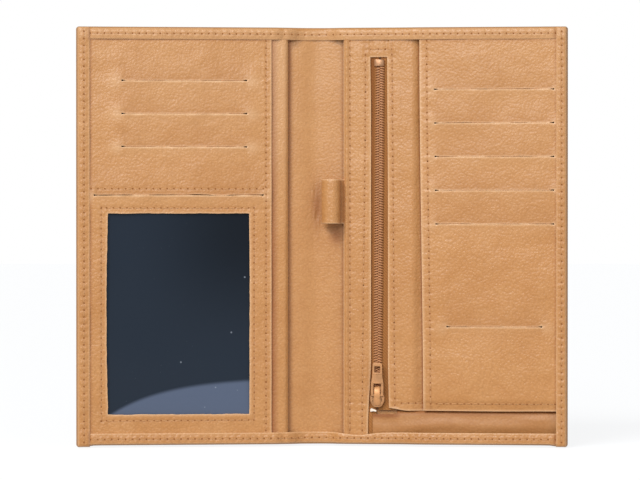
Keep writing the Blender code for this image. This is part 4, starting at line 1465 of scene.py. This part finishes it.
class WALLET_OT_pen_loop(bpy.types.Operator):
    """Leather loop for a pen, sewn under the pouch strip"""
    bl_idname = "wallet.pen_loop"
    bl_label = "Pen loop"

    def execute(self, context):
        centre_x, centre_depth, radius, half = 4.3, 8.4, 4.1, 0.5
        path = [(17.0, 4.28), (13.5, 4.28), (11.2, 4.35), (10.2, 4.75), (9.6, 5.5)]
        for k in range(33):
            angle = math.radians(-24 + 258 * k / 32)
            flat = 0.3 * bell(math.degrees(angle) - 88, 16)
            path.append((centre_x + radius * math.cos(angle),
                         centre_depth + (radius - flat) * math.sin(angle)))
        path += [(3.0, 4.1), (5.0, 3.6), (7.5, 3.42), (10.5, 3.3), (13.0, 3.25), (17.0, 3.25)]
        low, height = 106.3, 21.1
        rings = [(0.0, 0.5), (0.1, 0.8), (0.3, 0.97), (0.6, 1.0)]
        rings += [(height * k / 14, 1.0) for k in range(1, 14)]
        rings += [(height - up, share) for up, share in reversed(rings[:4])]
        count = len(path)
        points = []
        pale = []
        dark = []
        for up, share in rings:
            belly = 0.12 * math.sin(math.pi * up / height)
            belly -= 0.12 * bell(up - 3.2, 0.7)
            outer = []
            inner = []
            for i, (x, depth) in enumerate(path):
                ax, ad = path[max(i - 1, 0)]
                bx, bd = path[min(i + 1, count - 1)]
                length = math.hypot(bx - ax, bd - ad)
                nx, nd = (bd - ad) / length, -(bx - ax) / length
                swell = belly + ripple(x, up * 2.0, 90.0, 4.0, 0.1) if 5 <= i <= 37 else 0.0
                outer.append((x + nx * (half * share + swell), depth + nd * (half * share + swell)))
                inner.append((x - nx * (half * share - swell), depth - nd * (half * share - swell)))
            for x, depth in outer + inner[::-1]:
                points.append(stand(x, depth, low + up, RIGHT))
                # painted highlight along the loop's top and bottom rims, and painted shade on its right
                # side
                rim_gap = min(up, height - up)
                pale.append(0.9 * (1.0 - ease(rim_gap / 0.7)))
                dark.append(0.5 * ease((x - 7.4) / 2.2))
        wide = 2 * count
        faces = ring_faces(len(rings), wide)
        for r in (0, len(rings) - 1):
            for k in range(count - 1):
                a, b = r * wide + k, r * wide + k + 1
                c, d = r * wide + wide - 2 - k, r * wide + wide - 1 - k
                faces.append((a, b, c, d))
        loop = new_object("pen_loop_leather", points, faces, skin("cover"), edge_angle=70,
                          marks={"lighter_tone": pale, "painted_shade": dark})
        settle(loop, "right_half", ["pen_loop"])
        return {"FINISHED"}


# ---------------------------------------------------------------- zip

class WALLET_OT_zip(bpy.types.Operator):
    """Zip tapes, both rows of coil and the stops"""
    bl_idname = "wallet.zip"
    bl_label = "Zip"

    def execute(self, context):
        look = context.scene.wallet_zip
        pitch, wire = look.pitch / MM, look.wire / MM
        for name, sign, low in (("left", -1, 4.6), ("right", 1, 17.2)):
            points, faces, dark = self.tape(sign, low)
            made = new_object("tape_" + name, points, faces, skin("tape"), marks={"painted_shade": dark})
            settle(made, "right_half", ["zip_tape_" + name])
            turns = int((COIL_TO - COIL_FROM) / pitch)
            path = []
            for k in range(turns * 10 + 1):
                turn = k / 10.0
                angle = 2 * math.pi * turn
                path.append((sign * (0.95 + 0.95 * math.cos(angle)),
                             4.9 + 0.5 * math.sin(angle),
                             COIL_FROM + pitch * (turn + (0.5 if sign > 0 else 0.0))))
            coil = tube(path, wire / 2, 6, on_zip)
            core = tube([(sign * 1.0, 4.8, COIL_FROM + 1 + k * 3.0)
                         for k in range(int((COIL_TO - COIL_FROM - 1) / 3.0))], 0.25, 6, on_zip)
            made = new_object("coil_" + name, *gather([coil, core]), skin("coil"))
            settle(made, "right_half", ["zip_coil_" + name])
        made = new_object("zip_end_block", *self.end_block(), skin("stop"))
        settle(made, "right_half", ["zip_end_stop"])
        bits = [cut_metal([soften([(-3.5, 17.1), (-2.9, 18.2), (-1.9, 17.6), (-0.5, 17.2),
                                   (-0.4, 16.2), (-2.0, 16.6), (-3.3, 16.1)])],
                          4.9, 0.55, 0.25, on_zip)]
        made = new_object("zip_start_clip", *gather(bits), skin("cream"))
        settle(made, "right_half", ["zip_start_stop"])
        return {"FINISHED"}

    def end_block(self):
        """A clip folded round both tapes, rounded across its front."""
        section = [(-2.3, 4.3), (-2.42, 4.9), (-2.3, 5.5), (-1.9, 5.95), (-1.3, 6.15), (0.0, 6.2),
                   (1.3, 6.15), (1.9, 5.95), (2.3, 5.5), (2.42, 4.9), (2.3, 4.3)]
        rings = [(181.45, 0.9), (181.6, 0.97), (181.9, 1.0), (184.3, 1.0), (184.6, 0.97), (184.75, 0.9)]
        points = [on_zip(1.05 * x * share - 0.4, 4.3 + (depth - 4.3) * share, z)
                  for z, share in rings for x, depth in section]
        wide = len(section)
        return points, end_faces(len(rings), wide) + ring_faces(len(rings), wide)

    def tape(self, sign, low):
        """One tape: a woven strip with a raised edge beside the coil."""
        top = 187.0
        xs = [0.5, 0.8, 1.6, 2.4, 2.7, 3.0, 3.4, 4.2, 6.0, 8.0]
        thick = [0.1, 0.2, 0.22, 0.22, 0.34, 0.34, 0.22, 0.2, 0.2, 0.2]
        zs = lines(low, top, 2.0)
        points = []
        dark = []
        for z in zs:
            hidden = ease((z - 17.0) / 4.0)
            for x, extra in zip(xs, thick):
                # painted shade where the tape runs under the slot's leather lip, stronger on the left
                # tape
                dark += [(0.6 if sign < 0 else 0.2) * hidden * ease((x - 2.2) / 0.8)] * 2
                wave = ripple(x, z, 70.0 + sign, 12.0, 0.08)
                points.append(on_zip(sign * x, TAPE_FRONT - 0.15 + extra + wave, z))
                points.append(on_zip(sign * x, TAPE_FRONT - 0.28 + wave, z))
        wide = len(xs)
        faces = []
        for j in range(len(zs) - 1):
            for i in range(wide - 1):
                a = 2 * (j * wide + i)
                b = a + 2 * wide
                faces.append((a, a + 2, b + 2, b))
                faces.append((a + 1, b + 1, b + 3, a + 3))
            for i in (0, wide - 1):
                a = 2 * (j * wide + i)
                b = a + 2 * wide
                faces.append((a, b, b + 1, a + 1))
        for j in (0, len(zs) - 1):
            for i in range(wide - 1):
                a = 2 * (j * wide + i)
                faces.append((a, a + 1, a + 3, a + 2))
        return points, faces, dark


def slider_face(shrink=0.0):
    """Outline of the slider from the front, shoulders down."""
    low, wide, nose = SLIDER_LOW, 3.5 - shrink, 2.7 - shrink
    high = low + SLIDER_LENGTH - 1.5
    right = [(0.0, low + shrink), (1.5, low + shrink), (2.3, low + 0.7 + shrink),
             (wide - 0.2, low + 2.6), (wide, low + 4.6), (wide - 0.3, low + 5.8),
             (nose, low + 7.0), (nose, high - 0.8), (nose * 0.6, high - shrink)]
    return soften(right + [(-x, z) for x, z in reversed(right[1:])])


class WALLET_OT_slider(bpy.types.Operator):
    """Slider body, the bridge on it and the pull tab"""
    bl_idname = "wallet.slider"
    bl_label = "Slider and tab"

    def execute(self, context):
        face = cut_metal([slider_face()], 6.1, 0.32, 0.22, on_zip)
        dome = cut_metal([slider_face(0.85)], 6.3, 0.2, 0.16, on_zip)
        back = cut_metal([slider_face()], 3.3, 0.3, 0.2, on_zip)
        parts = [face, dome, back]
        for sign in (-1, 1):
            wall = [(sign * 3.4, 21.2), (sign * 2.7, 21.2), (sign * 2.7, 23.4),
                    (sign * 2.35, 26.0), (sign * 2.35, 29.0), (sign * 2.72, 29.0),
                    (sign * 2.72, 26.0), (sign * 3.4, 23.6)]
            parts.append(cut_metal([wall], 5.25, 0.75, 0.1, on_zip))
            ear = rounded_rectangle(min(sign * 1.75, sign * 3.25), max(sign * 1.75, sign * 3.25),
                                    20.9, 23.5, 0.7)
            parts.append(cut_metal([ear], 6.2, 0.3, 0.24, on_zip))
        wedge = soften([(-0.85, 19.4), (0.85, 19.4), (0.8, 21.0), (0.0, 22.2), (-0.8, 21.0)], 1)
        parts.append(cut_metal([wedge], 4.7, 1.2, 0.1, on_zip))
        body = new_object("slider_shell", *gather(parts), skin("slider"))
        settle(body, "slider", ["slider_body"])
        arch = [(-4.5, 6.5), (-4.1, 6.75), (-3.2, 7.1), (-2.0, 7.45), (-0.6, 7.78), (0.8, 7.95),
                (2.0, 7.85), (3.0, 7.5), (3.7, 7.0), (4.0, 6.4)]
        strap = self.strap(arch, 1.4, 0.26)
        made = new_object("slider_strap", *strap, skin("bridge"))
        settle(made, "slider", ["slider_bridge"])
        self.pull_tab()
        return {"FINISHED"}

    def strap(self, path, half_width, half_thick):
        """A flat bar with rounded edges bent along (up, depth) points."""
        section = [(-1.0, -0.3), (-0.86, -1.0), (0.86, -1.0), (1.0, -0.3), (1.0, 0.3),
                   (0.82, 0.9), (0.5, 1.15), (-0.5, 1.15), (-0.82, 0.9), (-1.0, 0.3)]
        points = []
        for i, (up, depth) in enumerate(path):
            au, ad = path[max(i - 1, 0)]
            bu, bd = path[min(i + 1, len(path) - 1)]
            length = math.hypot(bu - au, bd - ad)
            nu, nd = -(bd - ad) / length, (bu - au) / length
            for sx, sn in section:
                points.append(on_zip(sx * half_width, depth + nd * sn * half_thick,
                                     PIVOT_UP + up + nu * sn * half_thick))
        wide = len(section)
        return points, ring_faces(len(path), wide) + end_faces(len(path), wide)

    def pull_tab(self):
        """Tapered tab with an eye at the tip and a slot round the bridge."""
        up = PIVOT_UP
        edge = [(-2.6, up - 0.45), (2.6, up - 0.45), (3.0, up), (3.05, up + 5.4),
                (2.75, up + 7.4), (2.4, up + 9.0), (2.3, up + 14.9), (1.9, up + 15.6),
                (-1.9, up + 15.6), (-2.3, up + 14.9), (-2.4, up + 9.0), (-2.75, up + 7.4),
                (-3.05, up + 5.4), (-3.0, up)]
        slot = rounded_rectangle(-1.75, 1.75, up + 0.45, up + 5.6, 0.35)
        eye = rounded_rectangle(-1.4, 1.4, up + 11.0, up + 13.9, 0.3)
        plate = cut_metal([soften(edge, 1), slot, eye], PIVOT_DEPTH, 0.44, 0.16, on_zip)
        lip = cut_metal([rounded_rectangle(-2.1, 2.1, up + 10.0, up + 10.6, 0.25)],
                        PIVOT_DEPTH + 0.42, 0.18, 0.1, on_zip)
        brow = cut_metal([rounded_rectangle(-2.3, 2.3, up + 5.75, up + 6.35, 0.25)],
                         PIVOT_DEPTH + 0.42, 0.16, 0.1, on_zip)
        bar = tube([(-2.9 + 0.58 * k, PIVOT_DEPTH, up) for k in range(11)], 0.43, 12, on_zip)
        made = new_object("pull_tab_plate", *gather([plate, lip, brow, bar]), skin("tab"))
        settle(made, "pull_tab", ["pull_tab"])


# ---------------------------------------------------------------- stitches

def stitch_run(start, end, surface, side, outward, threads, holes, rng):
    """Lay one row of stitches from start to end on a surface."""
    radius = bpy.context.scene.wallet_stitching.thickness / MM / 2
    length = math.hypot(end[0] - start[0], end[1] - start[1])
    count = max(1, round(length / PITCH))
    ux, uz = (end[0] - start[0]) / length, (end[1] - start[1]) / length
    step = length / count
    sides, rings, hole_sides = 6, 5, 8
    for i in range(count):
        mid = (i + 0.5) * step + rng.uniform(-0.06, 0.06)
        tilt = rng.uniform(-0.05, 0.05)
        half = step * 0.40
        points = []
        for r in range(rings):
            share = -1.0 + 2.0 * r / (rings - 1)
            along = mid + half * share
            sway = tilt * share * half
            cx = start[0] + ux * along - uz * sway
            cz = start[1] + uz * along + ux * sway
            girth = radius * (1.0 - 0.55 * share * share)
            lift = 0.10 * (1.0 - share * share) - 0.03
            base = surface(cx, cz)
            for k in range(sides):
                angle = 2 * math.pi * k / sides
                off = girth * math.cos(angle)
                rise = lift + girth * math.sin(angle)
                points.append(stand(cx - uz * off, base + outward * rise, cz + ux * off, side))
        threads.append((points, ring_faces(rings, sides) + end_faces(rings, sides)))
    for i in range(count + 1):
        along = i * step
        cx, cz = start[0] + ux * along, start[1] + uz * along
        base = surface(cx, cz)
        points = []
        wide, tall = rng.uniform(0.48, 0.64), rng.uniform(0.40, 0.50)
        for share, rise in ((1.0, -0.2), (1.0, 0.02), (0.55, 0.06)):
            for k in range(hole_sides):
                angle = 2 * math.pi * k / hole_sides
                along_row, across_row = wide * share * math.cos(angle), tall * share * math.sin(angle)
                points.append(stand(cx + ux * along_row - uz * across_row, base + outward * rise,
                                    cz + uz * along_row + ux * across_row, side))
        holes.append((points, end_faces(3, hole_sides) + ring_faces(3, hole_sides)))


def follow(row, low, high, surface, pieces=8):
    """Stitch runs along a gently bent upright row, cut at whole stitches."""
    count = round((high - low) / PITCH / pieces)
    stops = [low + PITCH * count * k for k in range(pieces)] + [high]
    return [((row(a), a), (row(b), b), surface) for a, b in zip(stops, stops[1:])]


class WALLET_OT_stitches(bpy.types.Operator):
    """Rows of stitches with their needle holes"""
    bl_idname = "wallet.stitches"
    bl_label = "Stitches"

    def execute(self, context):
        rng = random.Random(11)
        x0, x1, z0, z1 = WINDOW_ROWS
        left = [((LEFT_ROW, SIDE_FROM), (LEFT_ROW, SIDE_TO), hem_left_front),
                ((PANEL_ROW, INNER_FROM), (PANEL_ROW, INNER_TO), left_panel_front),
                ((HEM_LEFT + 0.6, SEAM_ROW), (-28.0, SEAM_ROW), left_panel_front),
                ((x0, z0), (x0, z1), left_panel_front), ((x1, z0), (x1, z1), left_panel_front),
                ((x0 + 2.5, z1), (x1 - 2.5, z1), left_panel_front),
                ((x0 + 2.5, z0), (x1 - 2.5, z0), left_panel_front)]
        right = [((RIGHT_ROW, SIDE_FROM), (RIGHT_ROW, SIDE_TO), hem_right_front),
                 ((POUCH_ROW, INNER_FROM), (POUCH_ROW, INNER_TO), pouch_front),
                 ((23.3, SLOT_ROW), (33.2, SLOT_ROW), pouch_front),
                 ((37.8, POUCH_LOW_ROW), (47.7, POUCH_LOW_ROW), pouch_front),
                 ((54.8, CARD_LOW_ROW), (ACROSS_TO, CARD_LOW_ROW), card_panel_front)]
        right += follow(lambda z: zip_rows(z)[0], INNER_FROM, ZIP_TO, pouch_front)
        right += follow(lambda z: zip_rows(z)[1], ZIP_FROM, ZIP_TO, pouch_front)
        right += follow(card_row, CARD_LOW_ROW, INNER_TO, card_panel_front)
        across = [((ACROSS_FROM, TOP_ROW), (ACROSS_TO, TOP_ROW), hem_top_front),
                  ((ACROSS_FROM, BOTTOM_ROW), (ACROSS_TO, BOTTOM_ROW), hem_bottom_front)]
        inset = 3.6
        corner_x, top = HALF_WIDTH - inset, HEIGHT - inset
        back_left = [((-corner_x, inset), (-corner_x, top), cover_back)]
        back_right = [((corner_x, inset), (corner_x, top), cover_back)]
        back_across = [((-corner_x + 3, inset), (corner_x - 3, inset), cover_back),
                       ((-corner_x + 3, top), (corner_x - 3, top), cover_back)]
        for name, side, body, fronts, backs in (
                ("left", LEFT, "left_half", left, back_left),
                ("right", RIGHT, "right_half", right, back_right),
                ("across", ACROSS, None, across, back_across)):
            threads = []
            holes = []
            for start, end, surface in fronts:
                stitch_run(start, end, surface, side, 1.0, threads, holes, rng)
            for start, end, surface in backs:
                stitch_run(start, end, surface, side, -1.0, threads, holes, rng)
            for kind, pieces, finish in (("thread", threads, "thread"), ("holes", holes, "hole")):
                made = new_object("stitch_%s_%s" % (kind, name), *gather(pieces), skin(finish))
                if body:
                    settle(made, body, [])
                else:
                    settle_across(made, [])
        return {"FINISHED"}


# ---------------------------------------------------------------- stage

def sun(name, towards, strength, spread):
    """A broad soft light from the given direction."""
    lamp = bpy.data.lights.new(name, "SUN")
    lamp.energy = strength
    lamp.angle = math.radians(spread)
    made = bpy.data.objects.new(name, lamp)
    made.rotation_euler = Vector(towards).to_track_quat("Z", "Y").to_euler()
    bpy.context.scene.collection.objects.link(made)


def soft_box(name, place, power, size):
    """A square lamp near the wallet, aimed at its top."""
    lamp = bpy.data.lights.new(name, "AREA")
    lamp.energy = power
    lamp.size = size
    made = bpy.data.objects.new(name, lamp)
    made.location = place
    made.rotation_euler = (Vector(place) - Vector((0.0, 0.0, 0.17))).to_track_quat("Z", "Y").to_euler()
    bpy.context.scene.collection.objects.link(made)


class WALLET_OT_stage(bpy.types.Operator):
    """Camera, soft lights, white room and floor"""
    bl_idname = "wallet.stage"
    bl_label = "Stage"

    def execute(self, context):
        look = context.scene.wallet_stage
        scene = context.scene
        camera = bpy.data.cameras.new("camera")
        camera.sensor_width = 36.0
        camera.lens = 36.0 * look.distance / look.view_width
        camera.clip_end = 50.0
        eye = bpy.data.objects.new("camera", camera)
        aim = Vector((-0.00095, -0.004, 0.0985))
        eye.location = aim + Vector((0.0, -look.distance, look.distance * math.tan(math.radians(0.4))))
        eye.rotation_euler = (aim - eye.location).to_track_quat("-Z", "Y").to_euler()
        scene.collection.objects.link(eye)
        scene.camera = eye
        scene.view_settings.view_transform = "Standard"
        scene.view_settings.look = "None"
        self.room(look.surround)
        sun("key_light", (-0.62, -0.95, 0.86), look.key, 24.0)
        sun("fill_light", (0.9, -1.2, 0.35), look.fill, 50.0)
        soft_box("sheen_light", (-0.14, -0.95, 0.47), look.sheen, 0.3)
        self.floor()
        return {"FINISHED"}

    def room(self, surround):
        """A white room that looks brighter than the light it gives."""
        world = bpy.data.worlds.new("white_room")
        world.use_nodes = True
        nodes = world.node_tree.nodes
        links = world.node_tree.links
        path = nodes.new("ShaderNodeLightPath")
        level = nodes.new("ShaderNodeMapRange")
        level.inputs["To Min"].default_value = surround
        level.inputs["To Max"].default_value = 1.0
        links.new(path.outputs["Is Camera Ray"], level.inputs["Value"])
        links.new(level.outputs["Result"], nodes["Background"].inputs["Strength"])
        nodes["Background"].inputs["Color"].default_value = (1.0, 1.0, 1.0, 1.0)
        bpy.context.scene.world = world

    def floor(self):
        """A white floor."""
        size = 6.0
        mesh = bpy.data.meshes.new("floor")
        mesh.from_pydata([(-size, -size, 0), (size, -size, 0), (size, size, 0), (-size, size, 0)],
                         [], [(0, 1, 2, 3)])
        floor = bpy.data.objects.new("floor", mesh)
        floor.location.z = -0.0002
        paint = Paint("floor_white")
        grit = paint.cloud(40.0, 2.0)
        seen = paint.add("ShaderNodeLightPath", {}, {}, "Is Camera Ray")
        paint.set(Base_Color=paint.mix(grit, (0.20, 0.203, 0.206), (0.21, 0.212, 0.214)),
                  Roughness=0.8, Specular_IOR_Level=0.1, Emission_Strength=0.84,
                  Emission_Color=paint.mix(seen, (0.45, 0.45, 0.45), (0.985, 0.992, 1.0)))
        mesh.materials.append(paint.material)
        bpy.context.scene.collection.objects.link(floor)


# ---------------------------------------------------------------- add-on

OPERATORS = (WALLET_OT_stage, WALLET_OT_cover, WALLET_OT_linings, WALLET_OT_left_half,
             WALLET_OT_right_half, WALLET_OT_pen_loop, WALLET_OT_zip, WALLET_OT_slider,
             WALLET_OT_stitches)
GROUPS = (("wallet_leather", WalletLeather), ("wallet_stitching", WalletStitching),
          ("wallet_zip", WalletZip), ("wallet_window", WalletWindow),
          ("wallet_stage", WalletStage))


class WALLET_PT_panel(bpy.types.Panel):
    """Buttons for each part of the wallet and its sizes and colours"""
    bl_idname = "WALLET_PT_panel"
    bl_label = "Wallet"
    bl_space_type = "VIEW_3D"
    bl_region_type = "UI"
    bl_category = "Wallet"

    def draw(self, context):
        for operator in OPERATORS:
            self.layout.operator(operator.bl_idname)
        for name, group in GROUPS:
            box = self.layout.box()
            for field in group.__annotations__:
                box.prop(getattr(context.scene, name), field)


def register():
    """Register the classes and hang the settings on the scene."""
    for name, group in GROUPS:
        bpy.utils.register_class(group)
        setattr(bpy.types.Scene, name, PointerProperty(type=group))
    for operator in OPERATORS:
        bpy.utils.register_class(operator)
    bpy.utils.register_class(WALLET_PT_panel)


def unregister():
    """Undo register."""
    bpy.utils.unregister_class(WALLET_PT_panel)
    for operator in reversed(OPERATORS):
        bpy.utils.unregister_class(operator)
    for name, group in reversed(GROUPS):
        delattr(bpy.types.Scene, name)
        bpy.utils.unregister_class(group)


def main():
    """Build everything in order."""
    register()
    for operator in OPERATORS:
        module, name = operator.bl_idname.split(".")
        getattr(getattr(bpy.ops, module), name)()


if __name__ == "__main__":
    main()
